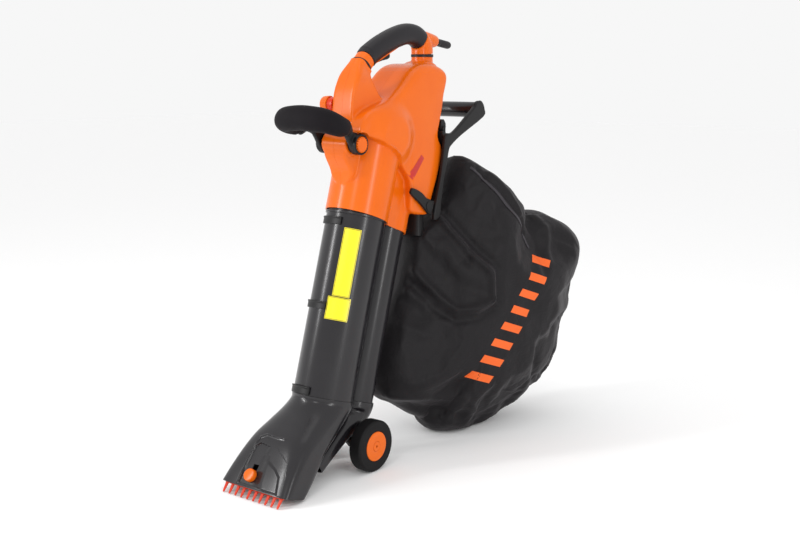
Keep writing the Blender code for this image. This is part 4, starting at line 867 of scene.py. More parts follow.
def sleeveForm(spans):
    # the soft sleeve over the core, its ends drawn in
    values = topHandle
    start, end, less = values["gripFrom"], values["gripTo"], values["coreLess"]
    wide = {"depth": values["gripDepth"], "width": values["gripWidth"]}
    outer = [handleRing(spans[start], 1.6, 0.0007, **wide), handleRing(spans[start], 0.5, 0.0014, **wide)]
    outer += [handleRing(station, **wide) for station in spans[start + 1:end + 1]]
    outer += [handleRing(spans[end], 0.5, 0.0028, **wide), handleRing(spans[end], 1.6, 0.0036, **wide)]
    inner = [handleRing(spans[index], less - 0.3, {start: 0.0007, end: 0.0036}.get(index, 0.0), **wide)
             for index in range(start, end + 1)]
    return shellForm(outer, inner)


def buildTopHandle():
    values = topHandle
    inlet, strip, lock = values["inlet"], values["strip"], values["lock"]
    spans = smoothed(values["stations"], values["steps"], closed=False)
    lockPlace = place(*lock["place"])
    core = fused("topHandleCore", merged(coreForm(spans), lofted(inletRings(*inlet["boss"])),
                                         stripBox(*strip["outer"])), values["voxel"])
    carve(core, stripBox(*strip["slot"]), lofted(inletRings(*inlet["hole"])), pin(lockPlace, *lock["hole"]))
    settle(core, "mouldedAbsOrange", "machine", "orange_plastic", ("handle_frame",))
    grip = asObject("topHandleSleeve", sleeveForm(spans))
    carve(grip, stripBox(*strip["window"]), pin(lockPlace, *lock["window"]))
    settle(grip, "softOvermould", "machine", "soft_rubber", ("handle_grip",))
    blade = stripForm(rounded(strip["trigger"], 0.004, 4, closed=True), strip["triggerHalfWidth"])
    make("triggerBlade", blade, "filledNylonBlack", "trigger_lever", "black_plastic", ("trigger",))
    make("inletStub", lofted(inletRings(*inlet["stub"])), "softOvermould", "machine", "soft_rubber",
         ("power_inlet",))
    make("lockButton", pin(lockPlace, *lock["button"], 40), "mouldedAcetalRed", "lock", "red_plastic",
         ("lock_button",))
    for name, node, station, rims in values["rings"]:
        make(name, lofted([handleRing(station, less, shift) for less, shift in rims]),
             "softOvermould", "machine", "soft_rubber", (node,))
    print("top handle:", len(core.data.polygons), "and", len(grip.data.polygons))


buildTopHandle()


# the swinging front handle with its clamp knobs

frontHandle = {
    "pivot": (2, 684), "slope": -30.0,
    "loop": (   # mm across, in front of the pivot, above the pivot
        (46.5, 27, 24), (47.5, 34, 31), (50, 43, 36.5), (56, 61, 37), (61, 80, 41), (59, 97, 47),
        (48, 109, 52), (26, 114.5, 54.5), (0, 115.5, 56),
    ),
    "barRadius": 0.012, "gripRadius": 0.025,
    "gripSwell": (0.82, 0.87, 0.92, 0.97, 1.0, 1.0, 1.0, 0.97, 0.92, 0.87, 0.82),
    "arm": (0.0381, 0.0479), "discRadius": 0.0215, "tip": (26.8, 20.9, 9.5),
    "knob": {"start": 0.0483, "leftWidth": 0.0100, "rightWidth": 0.0055, "leftRim": 0.0562,
             "rightRim": 0.0515, "radius": 0.0168, "scallops": 18, "depth": 0.0024,
             # share of the width, drawn in by, depth of the scallops
             "rings": ((0.0, 0.0, 1.0), (0.80, 0.0, 1.0), (0.93, 0.0005, 1.0), (1.0, 0.0014, 0.7),
                       (1.0, 0.0032, 0.0), (0.93, 0.0040, 0.0), (0.92, 0.0120, 0.0))},
    "rim": (0.0460, 0.0175, 0.0212), "bore": 0.0043,
    "ratchet": (0.0333, 0.0377), "ratchetRadius": 0.0180, "steps": 8,
    "collars": ((0.4, 0.0185), (1.5, 0.0165), (2.6, 0.0150)), "collarHalf": 0.0022,
    "voxel": 0.0013,
}


def loopPath():
    y, z = frontHandle["pivot"]
    half = list(frontHandle["loop"])
    both = half + [(-x, forward, above) for x, forward, above in reversed(half[:-1])]
    return [place(y - forward, z + above, x)
            for x, forward, above in smoothed(both, frontHandle["steps"], closed=False)]


def knobForm(hand):
    values = frontHandle["knob"]
    pivot = place(*frontHandle["pivot"])
    width = values["leftWidth"] if hand > 0 else values["rightWidth"]
    steps = values["scallops"] * 8
    rows = []
    for share, less, scallop in values["rings"]:
        ring = []
        for step in range(steps):
            turn = 2.0 * math.pi * step / steps
            wave = 0.5 - 0.5 * math.cos(turn * values["scallops"])
            radius = values["radius"] - less - values["depth"] * scallop * wave ** 1.3
            ring.append(pivot + Vector((hand * (values["start"] + width * share), radius * math.cos(turn),
                                        radius * math.sin(turn))))
        rows.append(ring)
    return lofted(rows)


def armForms(hand):
    # an arm round its eye and its tip, and the raised rim that the knob sits in
    values = frontHandle
    y, z = values["pivot"]
    forward, above, tipRadius = values["tip"]
    leads = math.atan2(above, -forward)
    outline = []
    for dy, dz, radius, middle in ((0.0, 0.0, values["discRadius"] * 1000.0, leads + math.pi),
                                   (-forward, above, tipRadius, leads)):
        for step in range(-6, 7):
            turn = middle + math.radians(15.0 * step)
            outline.append((y + dy + radius * math.cos(turn), z + dz + radius * math.sin(turn), 2.5))
    low, high = sorted(hand * side for side in values["arm"])
    seat = values["knob"]["rightRim" if hand < 0 else "leftRim"]
    rimLow, rimIn, rimOut = values["rim"]
    return [slab(outline, low, high, spans=1, steps=4),
            washer(place(y, z), rimLow, seat, rimIn, rimOut, 0.0006, hand)]


def gripForm(path, over):
    # thick in the middle, its bore round the bar; the path's neighbours give each ring's direction
    values = frontHandle
    outer, inner = [], []
    last = len(path) - 2
    bore = values["barRadius"] + slit
    shares = smoothed([(share,) for share in values["gripSwell"]], values["steps"], closed=False)
    for index in range(1, last + 1):
        ahead = (path[index + 1] - path[index - 1]).normalized()
        across = ahead.cross(over).normalized()
        radius = values["gripRadius"] * shares[index - 1][0] * (0.93 if index in (1, last) else 1.0)
        outer.append(oval(path[index], across, over, radius * 0.97, radius, 2.1, 48))
        inner.append(oval(path[index], across, over, bore, bore, 2.0, 48))
    return shellForm(outer, inner)


def buildFrontHandle():
    values = frontHandle
    path = loopPath()
    pivot = place(*values["pivot"])
    over = inclined(values["slope"])[1]
    last = len(path) - 1
    begin = 3 * values["steps"]
    radii = [values["barRadius"] * min(1.0, 0.66 + 0.34 * min(i, last - i) / 12.0) for i in range(last + 1)]
    forms = [rod(path, radii, over, 28)]
    half = values["collarHalf"]
    # three raised collars at each end of the grip
    for first, way in ((begin, -1), (last - begin, 1)):
        for step, radius in values["collars"]:
            at = first + way * step
            low = int(math.floor(at))
            profile = rounded([(-half, 0.0), (-half, radius), (half, radius), (half, 0.0)], 0.0012)
            forms.append(spunAbout(path[low].lerp(path[low + 1], at - low), path[low + 1] - path[low],
                                   profile, 32))
    for hand in (-1, 1):
        forms += armForms(hand)
    frameForm = fused("frontHandleFrame", merged(*forms), values["voxel"])
    carve(frameForm, pin(pivot, -0.1, 0.1, values["bore"], steps=32))
    settle(frameForm, "filledNylonBlack", "front_handle", "black_plastic",
           ("front_handle_frame", "left_handle_arm", "right_handle_arm"))
    grip = make("frontGrip", gripForm(path[begin - 1:last - begin + 2], over),
                "foamRubber", "front_handle", "foam_grip", ("front_grip",))
    for hand, word in ((1, "left"), (-1, "right")):
        make(word + "ClampKnob", knobForm(hand), "mouldedAbsOrange", word + "_clamp", "orange_plastic",
             (word + "_knob",), 30.0)
        disc = washer(pivot, *values["ratchet"], values["bore"], values["ratchetRadius"], 0.0006, hand)
        make(word + "Ratchet", disc, "filledNylonBlack", "machine", "black_plastic", (word + "_ratchet",))
    print("front handle:", len(frameForm.data.polygons), "and", len(grip.data.polygons))


buildFrontHandle()


# the speed dial on the neck's right side, and the lever over the housing's left side

dial = {"place": (20, 763), "radius": 0.0175, "seat": 0.0288, "base": 0.014, "ribs": 20, "ribDepth": 0.0007,
        "bore": 0.0052, "baseRadius": 0.0145, "stem": 0.0046,
        # how far out, drawn in by, depth of the ribs
        "rings": ((0.0, 0.0008, 1.0), (0.0008, 0.0, 1.0), (0.0142, 0.0008, 1.0), (0.0163, 0.0014, 0.8),
                  (0.0174, 0.0026, 0.4), (0.0180, 0.0048, 0.0), (0.0180, 0.0100, 0.0))}
lever = {
    "pivot": (213, 540), "tip": (152, 581), "start": 0.0623, "thick": 0.008, "edge": 2.6,
    "outline": ((-16, -6), (-12, -14), (4, -13), (30, -10), (68, -9), (74, -2), (70, 6), (40, 12), (18, 11),
                (2, 15), (-12, 12)),
}


def dialForm(low):
    # the ribbed knob, rib by rib, from its base to its rounded face
    centre = place(*dial["place"])
    steps = dial["ribs"] * 8
    rows = []
    for along, less, rib in dial["rings"]:
        ring = []
        for step in range(steps):
            turn = 2.0 * math.pi * step / steps
            wave = 0.5 - 0.5 * math.cos(turn * dial["ribs"])
            radius = dial["radius"] - less - rib * dial["ribDepth"] * wave
            ring.append(centre + Vector((-low - along, radius * math.cos(turn), radius * math.sin(turn))))
        rows.append(ring)
    return lofted(rows)


def buildDialAndLever():
    centre = place(*dial["place"])
    face = dial["seat"] + dial["base"]
    # the dial's base is red: painted shade standing for the shaded inner side of the orange dial next to the
    # neck
    make("dialBaseShadeRed", washer(centre, -dial["seat"], -face, dial["bore"], dial["baseRadius"], 0.0005),
         "mouldedAcetalRed", "machine", "red_plastic", ("dial_base",))
    low = face + slit
    make("speedDial", merged(dialForm(low), pin(centre, -low - 0.003, -0.0200, dial["stem"], steps=32)),
         "mouldedAbsOrange", "dial", "orange_plastic", ("speed_dial",), 30.0)
    root, tip = Vector(lever["pivot"]), Vector(lever["tip"])
    ahead = (tip - root).normalized()
    over = Vector((ahead.y, -ahead.x))
    outline = [(*(root + ahead * a + over * b), lever["edge"]) for a, b in lever["outline"]]
    start = lever["start"]
    make("selectorLever", merged(
        slab(outline, start, start + lever["thick"], spans=4, steps=4),
        pin(place(*lever["pivot"], start * 1000.0), 0.002, 0.0100, 0.0120, 0.0015, 48),
        pin(place(*lever["pivot"]), -0.050, start + 0.004, 0.004, steps=32)),
         "filledNylonBlack", "selector", "black_plastic", ("selector_lever",))
    print("dial and lever ready")


buildDialAndLever()


# the twin tubes with their clips and blank labels

tubes = {
    "length": 0.412,
    "suction": {"radius": 0.063, "wall": 0.0028, "lip": 0.0026},
    "blower": {"radius": 0.040, "wall": 0.0025, "lip": 0.0020},
    "lipPlace": (0.3930, 0.3985),
    "clips": (0.376, 0.1985, 0.021),
    "clipTurn": (-14.0, 40.0), "clipHalfHeight": 0.008, "clipThick": 0.0042,
    "ridge": 0.003, "ridgeRise": 0.0012,
    "labels": (
        # name, low, high along the tube, low turn, high turn
        ("upperLabel", 0.222, 0.364, -55.0, -22.0),
        ("lowerLabel", 0.173, 0.220, -59.0, -15.0),
    ),
    "labelThick": 0.0003, "labelBorder": 0.0012, "lineWidth": 0.6,
}


def pipeForm(forward, radius, wall, lip):
    low, high = tubes["lipPlace"]
    length = tubes["length"]
    profile = [(0.0, radius - wall), (0.0, radius), (low, radius), (low, radius + lip), (high, radius + lip),
               (high, radius), (length, radius), (length, radius - wall)]
    return spunAbout(onTube(0.0, forward), tubeUp, rounded(profile, 0.0009, 3, closed=True), 96, True)


def borderLine(low, high, left, right):
    # four strips of a printed line just inside a label's rim
    radius = tubes["suction"]["radius"]
    border = tubes["labelBorder"]
    turn = math.degrees(border / radius)
    low, high, left, right = low + border, high - border, left + turn, right - turn
    wide, wideTurn = border * tubes["lineWidth"], turn * tubes["lineWidth"]
    return merged(*(tubePatch(radius + 0.0002 + tubes["labelThick"], *strip, 0.0001) for strip in (
        (low, low + wide, left, right), (high - wide, high, left, right),
        (low, high, left, left + wideTurn), (low, high, right - wideTurn, right))))


def buildTubes():
    for name, forward, node in (("suction", 0.0, "suction_tube"), ("blower", -spacing, "blower_tube")):
        values = tubes[name]
        make(name + "Pipe", pipeForm(forward, values["radius"], values["wall"], values["lip"]),
             "satinPolypropylene", "machine", "tube_plastic", (node,))
    radius = tubes["suction"]["radius"]
    reach, turns, thick = tubes["clipHalfHeight"], tubes["clipTurn"], tubes["clipThick"]
    for word, along in zip(("upper", "middle", "lower"), tubes["clips"]):
        top = along + reach
        plate = tubePatch(radius + slit, along - reach, top, *turns, thick, 12, 2)
        ridge = tubePatch(radius + slit, top - tubes["ridge"], top, *turns, thick + tubes["ridgeRise"], 12, 1)
        settle(fused(word + "Clip", merged(plate, ridge), 0.0008), "filledNylonBlack", "machine",
               "black_plastic", (word + "_clip",))
    for name, *sides in tubes["labels"]:
        make(name, tubePatch(radius + 0.0001, *sides, tubes["labelThick"]),
             "vinylYellow", "machine", "tube_plastic")
        make(name + "Line", borderLine(*sides), "vinylBlack", "machine", "tube_plastic")
    print("tubes ready")


buildTubes()


# the nozzle with its slider recess, the outlet duct under it, the rake

nozzle = {
    "stations": (   # mm behind the axle, mm up, facing along Y, facing up, half width, half depth, squareness
        (-92, 130, -0.935, 0.355, 67.5, 58.0, 2.3), (-128, 108, -0.900, 0.436, 71.5, 52.0, 2.8),
        (-164, 86, -0.872, 0.490, 77.0, 47.0, 3.4), (-205, 48, -0.800, 0.600, 84.0, 41.0, 4.6),
        (-243, 12.5, -0.953, 0.303, 91.0, 34.6, 6.0),
    ),
    "collar": (0.0650, 0.012), "wall": 0.0030,
    "front": (-275.97, 22.98), "frontUp": (0.6, 0.8), "frontIn": (0.8, -0.6),
    "duct": (
        (27, 106, -0.890, 0.450, 41.0, 37.5, 2.0), (1, 94, -0.710, 0.704, 44.0, 31.0, 2.4),
        (-52, 76, -0.620, 0.785, 49.0, 21.5, 3.2), (-128, 32.5, -0.560, 0.828, 52.0, 16.5, 4.0),
    ),
    "ductCollar": (0.0428, 0.012), "ductWall": 0.0025,
    "slotX": -0.017, "slotHalf": 0.0068, "slotLow": 0.0198, "slotHigh": 0.0502,
    # shapes on the front wall, in mm across and mm up from the mouth
    "recess": ((-43, 3), (-43, 88), (-37, 107), (-24, 114.5), (4, 112.5), (24, 113.5), (19, 91), (36, 82),
               (56, 70), (68, 42), (76, 3)),
    "recessDepth": 0.0020,
    "channel": ((-40.5, 7), (-41.5, 86), (-30, 95), (-8, 92), (13, 7)),
    "channelDepth": 0.0032,
    "facet": ((19, 4), (3, 64), (14, 62), (40, 50), (55, 38), (66, 4)),
    "facetRise": 1.15,     # as a share of the recess's depth
    "lip": ((-38, 106), (-25, 114), (4, 112.5), (24, 113.5)),
    "lipRise": 0.0011,
    "seam": ((22.2, 186), (-0.7, 124)),
    "seamDepth": 0.0006,
    "comb": {"offset": 0.0085, "thick": 0.0026, "halfWidth": 0.083, "teeth": 10, "root": 0.0076,
             "tip": 0.0040, "depth": 0.030, "tongue": 0.008},
    "button": {"up": 0.0255, "radius": 0.0130, "height": 0.0060},
}


def onFront(x, up, inward):
    # a point on the nozzle's front wall: across, up from the mouth, and behind the wall's face
    return place(*nozzle["front"], x * 1000.0) + Vector((0.0, *nozzle["frontUp"])) * up \
        + Vector((0.0, *nozzle["frontIn"])) * inward


def flaredShell(collar, forward, stations, wall, count, spans):
    # the socket's round collar, then the flare through the stations
    radius, high = collar
    start = []
    for along in (high, 0.0):
        spot = onTube(along, forward)
        start.append(((spot.y - axleY) * 1000.0, spot.z * 1000.0, -math.cos(lean), math.sin(lean),
                      radius * 1000.0, radius * 1000.0, 2.0))
    flare = smoothed(start + list(stations), spans, closed=False)
    skins = [[oval(place(y, z), acrossX, Vector((0.0, faceY, faceZ)).normalized(), wide / 1000.0 - less,
                   deep / 1000.0 - less, square, count) for y, z, faceY, faceZ, wide, deep, square in flare]
             for less in (0.0, wall)]
    return shellForm(*skins)


def toSegment(point, start, end):
    along = end - start
    share = min(1.0, max(0.0, (point - start).dot(along) / along.length_squared))
    return (point - start - along * share).length


def toLine(point, line):
    corners = [Vector(corner) for corner in line]
    return min(toSegment(point, a, b) for a, b in zip(corners, corners[1:]))


def within(point, outline):
    # distance to the outline, positive inside it
    inside = False
    for a, b in zip(outline, outline[1:] + outline[:1]):
        if (a[1] > point.y) != (b[1] > point.y):
            if point.x < a[0] + (b[0] - a[0]) * (point.y - a[1]) / (b[1] - a[1]):
                inside = not inside
    reach = toLine(point, outline + outline[:1])
    return reach if inside else -reach


def frontRelief(x, up):
    # how far the front wall is sunk there
    spot = Vector((x * 1000.0, up * 1000.0))
    depth = nozzle["recessDepth"] * eased(within(spot, nozzle["recess"]), -0.4, 0.6)
    depth += nozzle["channelDepth"] * eased(within(spot, nozzle["channel"]), -0.4, 0.7)
    facet = within(spot, nozzle["facet"])
    depth -= nozzle["recessDepth"] * nozzle["facetRise"] * eased(facet, -0.4, 3.5)
    depth -= nozzle["lipRise"] * (1.0 - eased(toLine(spot, nozzle["lip"]), 0.4, 3.2))
    depth += nozzle["seamDepth"] * (1.0 - eased(toLine(spot, nozzle["seam"]), 0.1, 0.9))
    return depth


def sinkFront(bm):
    # finer faces on the front wall, then its recess, channel, facet, lip and seam
    low = onFront(0.0, 0.0, 0.0)
    rise, inward = Vector((0.0, *nozzle["frontUp"])), Vector((0.0, *nozzle["frontIn"]))

    def onWall(spot, left, right, foot, top):
        return left < spot.x < right and foot < spot.dot(rise) < top and -0.008 < spot.dot(inward) < 0.009

    near = []
    for face in bm.faces:
        spot = face.calc_center_median() - low
        if onWall(spot, -0.052, 0.086, -0.002, 0.122) or onWall(spot, -0.010, 0.032, -0.002, 0.200):
            near.append(face)
    bmesh.ops.subdivide_edges(bm, edges=list({edge for face in near for edge in face.edges}), cuts=2,
                              use_grid_fill=True)
    for vert in bm.verts:
        spot = vert.co - low
        if onWall(spot, -0.055, 0.090, 0.0, 0.205):
            vert.co += inward * frontRelief(spot.x, spot.dot(rise))


def buildNozzle():
    values = nozzle
    body = asObject("nozzleShell", flaredShell(values["collar"], 0.0, values["stations"], values["wall"],
                                               240, 14))
    reshaped(body, sinkFront)
    half, low, high = values["slotHalf"], values["slotLow"], values["slotHigh"]
    carve(body, lofted([[onFront(values["slotX"] + x, up, inward) for x, up in (
        (-half, low), (half, low), (half, high), (-half, high))] for inward in (-0.02, 0.02)]))
    settle(body, "satinPolypropylene", "machine", "tube_plastic", ("nozzle",))
    duct = flaredShell(values["ductCollar"], -spacing, values["duct"], values["ductWall"], 96, 8)
    duct = make("ductShell", duct, "satinPolypropylene", "machine", "tube_plastic", ("blower_duct",))
    print("nozzle and duct:", len(body.data.polygons), "and", len(duct.data.polygons))


buildNozzle()


def combOutline():
    values = nozzle["comb"]
    half = values["halfWidth"]
    reach = (onFront(0.0, 0.0, values["offset"] + values["thick"]).z - 0.0006) / nozzle["frontUp"][1]
    pitch = 2.0 * half / values["teeth"]
    points = [(half - 0.006, values["depth"]), (half, 0.004)]
    for index in range(values["teeth"]):
        middle = half - pitch * (index + 0.5)
        points.append((middle + values["root"] / 2, 0.0))
        for step in range(7):
            turn = math.pi * step / 6
            points.append((middle + values["tip"] / 2 * math.cos(turn),
                           -reach + values["tip"] / 2 * (1.0 - math.sin(turn))))
        points.append((middle - values["root"] / 2, 0.0))
    tongue, button = values["tongue"], nozzle["button"]
    end = button["up"] + button["radius"]
    points += [(-half, 0.004), (-half + 0.006, values["depth"]), (nozzle["slotX"] - tongue, values["depth"]),
               (nozzle["slotX"] - tongue, end), (nozzle["slotX"] + tongue, end),
               (nozzle["slotX"] + tongue, values["depth"])]
    return points


def buildRake():
    values, button = nozzle["comb"], nozzle["button"]
    thick, edge = values["thick"], 0.0005
    outline = combOutline()
    rows = []
    for inward, less in ((0.0, edge), (edge, 0.0), (thick - edge, 0.0), (thick, edge)):
        rows.append([onFront(p.x, p.y, values["offset"] + inward)
                     for p in drawnIn(outline, [less] * len(outline))])
    make("rakeComb", lofted(rows), "mouldedAcetalRed", "rake", "red_plastic", ("rake_comb",))
    stem, foot = nozzle["slotHalf"] - 0.0005, slit - values["offset"]
    radius, high = button["radius"], button["height"]
    profile = [(foot, 0.0), (foot, stem), (-0.0043, stem), (-0.0042, radius), (high - 0.0022, radius),
               (high - 0.0004, radius - 0.0012), (high, radius - 0.003), (high, 0.0)]
    out = -Vector((0.0, *nozzle["frontIn"]))
    make("rakeButton", spunAbout(onFront(nozzle["slotX"], button["up"], 0.0), out, profile, 48),
         "mouldedAbsOrange", "rake", "orange_plastic", ("rake_button",))
    print("rake ready")


buildRake()


# the transport wheels

wheel = {
    "height": 0.055, "radius": 0.055, "inner": 0.0590, "width": 0.034, "hub": 0.0315, "axle": 0.005,
    "cap": 0.0105, "capHole": 0.0026, "faceProud": 0.0010, "axleReach": 0.012,
}


def buildWheels():
    values = wheel
    centre = place(0.0, values["height"] * 1000.0)
    inner, outer = values["inner"], values["inner"] + values["width"]
    radius, hub = values["radius"], values["hub"]
    face = outer + values["faceProud"]
    bore, hole, cap = values["axle"] + slit, values["capHole"], values["cap"]
    parts = (   # name, node, slot, finish, profile, edge, steps, arc
        ("Tyre", "_tyre", "tyre_rubber", "solidTyreRubber", (
            (inner, hub + slit), (inner, radius - 0.013), (inner + 0.0012, radius - 0.006),
            (inner + 0.006, radius), (outer - 0.0035, radius), (outer, radius - 0.0035),
            (outer, hub + 0.0012), (outer - 0.001, hub + slit)), 0.0014, 96, 4),
        ("Hub", "_hub", "orange_plastic", "mouldedAbsOrange", (
            (inner + 0.0025, bore), (face - 0.006, bore), (face - 0.006, cap + 0.0005),
            (face - 0.0004, cap + 0.0005), (face, cap + 0.0011), (face, hub - 0.0012), (face - 0.0012, hub),
            (inner + 0.0025, hub)), 0.0008, 96, 3),
        ("Cap", "_cap", "orange_plastic", "mouldedAbsOrange", (
            (face - 0.0056, hole), (face + 0.0002, hole), (face + 0.0002, cap), (face - 0.0056, cap)),
         0.0006, 64, 3),
    )
    for hand, word in ((1, "left"), (-1, "right")):
        for name, node, slotName, look, profile, edge, steps, arc in parts:
            form = spunAcross(centre, profile, edge, steps, hand, True, arc)
            make(word + name, form, look, word + "_wheel", slotName, (word + node,), 50.0)
    end = inner + values["axleReach"]
    make("wheelAxle", pin(centre, -end, end, values["axle"], steps=48), "zincPlatedSteel", "machine", "steel",
         ("axle",))
    print("wheels ready")


buildWheels()


# the bag's frame behind the housing, its carrying bar and its latch

bagFrame = {
    "side": ((226, 508), (247, 515), (252, 545), (262, 595), (272, 629), (279, 657), (289, 669), (328, 690),
             (414, 727), (419, 744), (411, 759), (396, 763), (345, 729), (312, 707), (290, 696), (274, 696),
             (266, 690), (262, 665), (258, 640), (250, 600), (238, 560), (228, 530)),
    "start": 0.066, "thick": 0.0095, "edge": 2.4,
    "bar": (397, 744), "barRadius": 0.0175, "barWall": 0.002,
    "plate": ((261.5, 701), (277, 662), (274, 640), (261, 600), (239, 548)), "plateThick": 6.4,
    "ear": ((274, 656, 1.5), (279.5, 656, 1.5), (280, 708, 1.5), (274.5, 712.5, 1.5), (269, 708, 1.5),
            (274, 664, 1.5)),
    "latchOutline": ((-5.5, -4), (2, -12), (11, -6), (12, 8), (4, 18), (-4.5, 16), (-5.2, 5)),
    "latchPivot": (274.5, 708.0), "latchStart": 0.045, "latchWidth": 0.015,
}


def buildBagFrame():
    values = bagFrame
    start, end = values["start"], values["start"] + values["thick"]
    bar, radius = place(*values["bar"]), values["barRadius"]
    forms = []
    for hand in (-1, 1):
        low, high = sorted((hand * start, hand * end))
        forms.append(slab([(y, z, values["edge"]) for y, z in values["side"]], low, high, spans=3, steps=3))
        forms.append(pin(bar, low, high, radius + 0.0030, 0.002, 48))
    front = [(y + 0.6, z, 1.5) for y, z in values["plate"]]
    back = [(y + values["plateThick"], z, edge) for y, z, edge in reversed(front)]
    forms.append(slab(front + back, -start - 0.003, start + 0.003, spans=1, steps=2))
    low, high = values["latchStart"], values["latchStart"] + values["latchWidth"]
    for begin in (low - 0.0055, high + 0.0005):
        forms.append(slab(values["ear"], begin, begin + 0.0050, spans=1, steps=2))
    frameForm = fused("bagFrameForm", merged(*forms), 0.0016)
    settle(frameForm, "filledNylonBlack", "machine", "black_plastic", ("bag_frame",))
    reach = end - 0.0035
    make("carryingBar", washer(bar, -reach, reach, radius - values["barWall"], radius, 0.0006, arc=3),
         "satinPolypropylene", "machine", "black_plastic", ("cross_tube",))
    y, z = values["latchPivot"]
    outline = [(y + back, z + up, 1.2) for back, up in values["latchOutline"]]
    make("bagLatch", merged(slab(outline, low, high, spans=2, steps=3),
                            pin(place(y, z), low - 0.005, high + 0.005, 0.0025, steps=24)),
         "filledNylonBlack", "latch", "black_plastic", ("frame_latch",))
    print("bag frame:", len(frameForm.data.polygons))


buildBagFrame()


# the bag with its collar and the lug that carries it

bag = {
    "yaw": 14.0, "start": 0.200, "halfThickness": 0.112,
    "outline": (   # metres behind the bag's front line, metres up
        (-0.076, 0.128), (-0.018, 0.092), (0.027, 0.062), (0.056, 0.046), (0.071, 0.024), (0.098, 0.008),
        (0.160, 0.002), (0.225, 0.007), (0.300, 0.027), (0.372, 0.059), (0.434, 0.090), (0.462, 0.135),
        (0.474, 0.185),
        (0.492, 0.230), (0.510, 0.310), (0.526, 0.386), (0.522, 0.424), (0.494, 0.452), (0.450, 0.474),
        (0.404, 0.490), (0.348, 0.492), (0.320, 0.532), (0.274, 0.574), (0.214, 0.610), (0.172, 0.632),
        (0.154, 0.630), (0.132, 0.592), (0.114, 0.545), (0.070, 0.503), (0.030, 0.480), (0.022, 0.466),
        (0.020, 0.420), (-0.010, 0.340), (-0.076, 0.210),
    ),
    "middle": (0.235, 0.300),
    "profile": ((1.0, 0.05), (0.99, 0.22), (0.965, 0.40), (0.92, 0.56), (0.86, 0.70), (0.77, 0.82),
                (0.66, 0.90), (0.53, 0.96), (0.40, 1.0), (0.2, 1.02)),
    "fullness": 0.985, "voxel": 0.0066,
    "sim": {"frames": 20, "pressure": 2.5, "slack": 0.07, "cap": 0.012},
    "folds": (   # height and half width in metres, then the line on the bag's left side
        (-0.013, 0.016, ((0.055, 0.640), (0.062, 0.609), (0.056, 0.566), (0.040, 0.520), (0.012, 0.480))),
        (0.010, 0.011, ((-0.030, 0.469), (-0.005, 0.425), (0.020, 0.378), (0.049, 0.337), (0.081, 0.307),
                        (0.120, 0.309), (0.159, 0.323))),
        (-0.007, 0.012, ((-0.048, 0.452), (-0.024, 0.412), (0.002, 0.362), (0.036, 0.314), (0.074, 0.284),
                         (0.124, 0.287), (0.172, 0.305))),
        (0.011, 0.010, ((0.068, 0.521), (0.100, 0.465), (0.130, 0.420), (0.161, 0.387), (0.162, 0.330))),
        (-0.007, 0.012, ((0.092, 0.520), (0.122, 0.470), (0.152, 0.428), (0.184, 0.392), (0.186, 0.325))),
        (-0.006, 0.020, ((0.030, 0.450), (0.060, 0.400), (0.095, 0.360), (0.130, 0.345))),
        (0.006, 0.008, ((0.206, 0.600), (0.252, 0.557), (0.269, 0.528), (0.279, 0.505))),
        (-0.006, 0.008, ((0.176, 0.610), (0.216, 0.573), (0.246, 0.540), (0.278, 0.498), (0.300, 0.460))),
        (0.006, 0.014, ((0.360, 0.510), (0.382, 0.451), (0.364, 0.400))),
        (-0.006, 0.016, ((0.330, 0.490), (0.345, 0.430), (0.335, 0.370))),
        (0.006, 0.012, ((-0.070, 0.126), (-0.020, 0.118), (0.034, 0.109), (0.111, 0.097), (0.150, 0.060))),
        (-0.008, 0.016, ((-0.060, 0.098), (0.000, 0.086), (0.060, 0.070), (0.120, 0.048))),
        (0.006, 0.016, ((-0.075, 0.380), (-0.030, 0.376), (0.020, 0.330))),
        (-0.005, 0.018, ((-0.080, 0.350), (-0.030, 0.338), (0.010, 0.300))),
        (0.005, 0.016, ((-0.080, 0.300), (-0.040, 0.284), (0.000, 0.262))),
        (-0.008, 0.020, ((0.500, 0.222), (0.455, 0.236), (0.410, 0.230))),
        (-0.007, 0.018, ((0.380, 0.064), (0.350, 0.110), (0.330, 0.150))),
    ),
    "seam": ((0.160, 0.617), (0.191, 0.579), (0.224, 0.543), (0.254, 0.507), (0.284, 0.469), (0.312, 0.423)),
    "bars": {"count": 8, "from": (0.142, 0.146), "to": (0.334, 0.392), "long": (0.066, 0.050), "wide": 0.0190,
             "slant": 18.0},
    "slack": {"from": (0.060, 0.560), "rise": 0.0048, "grow": (0.05, 0.18), "fade": (0.35, 0.60),
              "fadeBy": 0.55},
    "ripple": {"rise": 0.0016, "along": 26.0, "up": 19.0},
    "fill": 0.85,
}


def bagWays():
    yaw = math.radians(bag["yaw"])
    return Vector((math.sin(yaw), math.cos(yaw), 0.0)), Vector((math.cos(yaw), -math.sin(yaw), 0.0))


def onBag(back, height, out):
    along, away = bagWays()
    return Vector((0.0, axleY + bag["start"], height)) + along * back + away * out


def puffed(piece, frames, pressure, slack, cap):
    # the cloth is cut a little larger than the form, then air fills it; no point goes further than the cap
    start = [vert.co.copy() for vert in piece.data.vertices]
    cloth = piece.modifiers.new("cloth", "CLOTH")
    cloth.settings.quality = 4
    cloth.settings.use_pressure = True
    cloth.settings.uniform_pressure_force = pressure
    cloth.settings.shrink_min = -slack
    cloth.settings.tension_stiffness = 25.0
    cloth.settings.compression_stiffness = 25.0
    cloth.settings.bending_stiffness = 0.6
    cloth.settings.effector_weights.gravity = 0.0
    cloth.collision_settings.use_collision = False
    cloth.point_cache.frame_end = frames
    scene = bpy.context.scene
    for number in range(1, frames + 1):
        scene.frame_set(number)
    applyAll(piece)
    scene.frame_set(1)
    for vert, before in zip(piece.data.vertices, start):
        moved = vert.co - before
        if moved.length > cap:
            vert.co = before + moved.normalized() * cap
    return piece


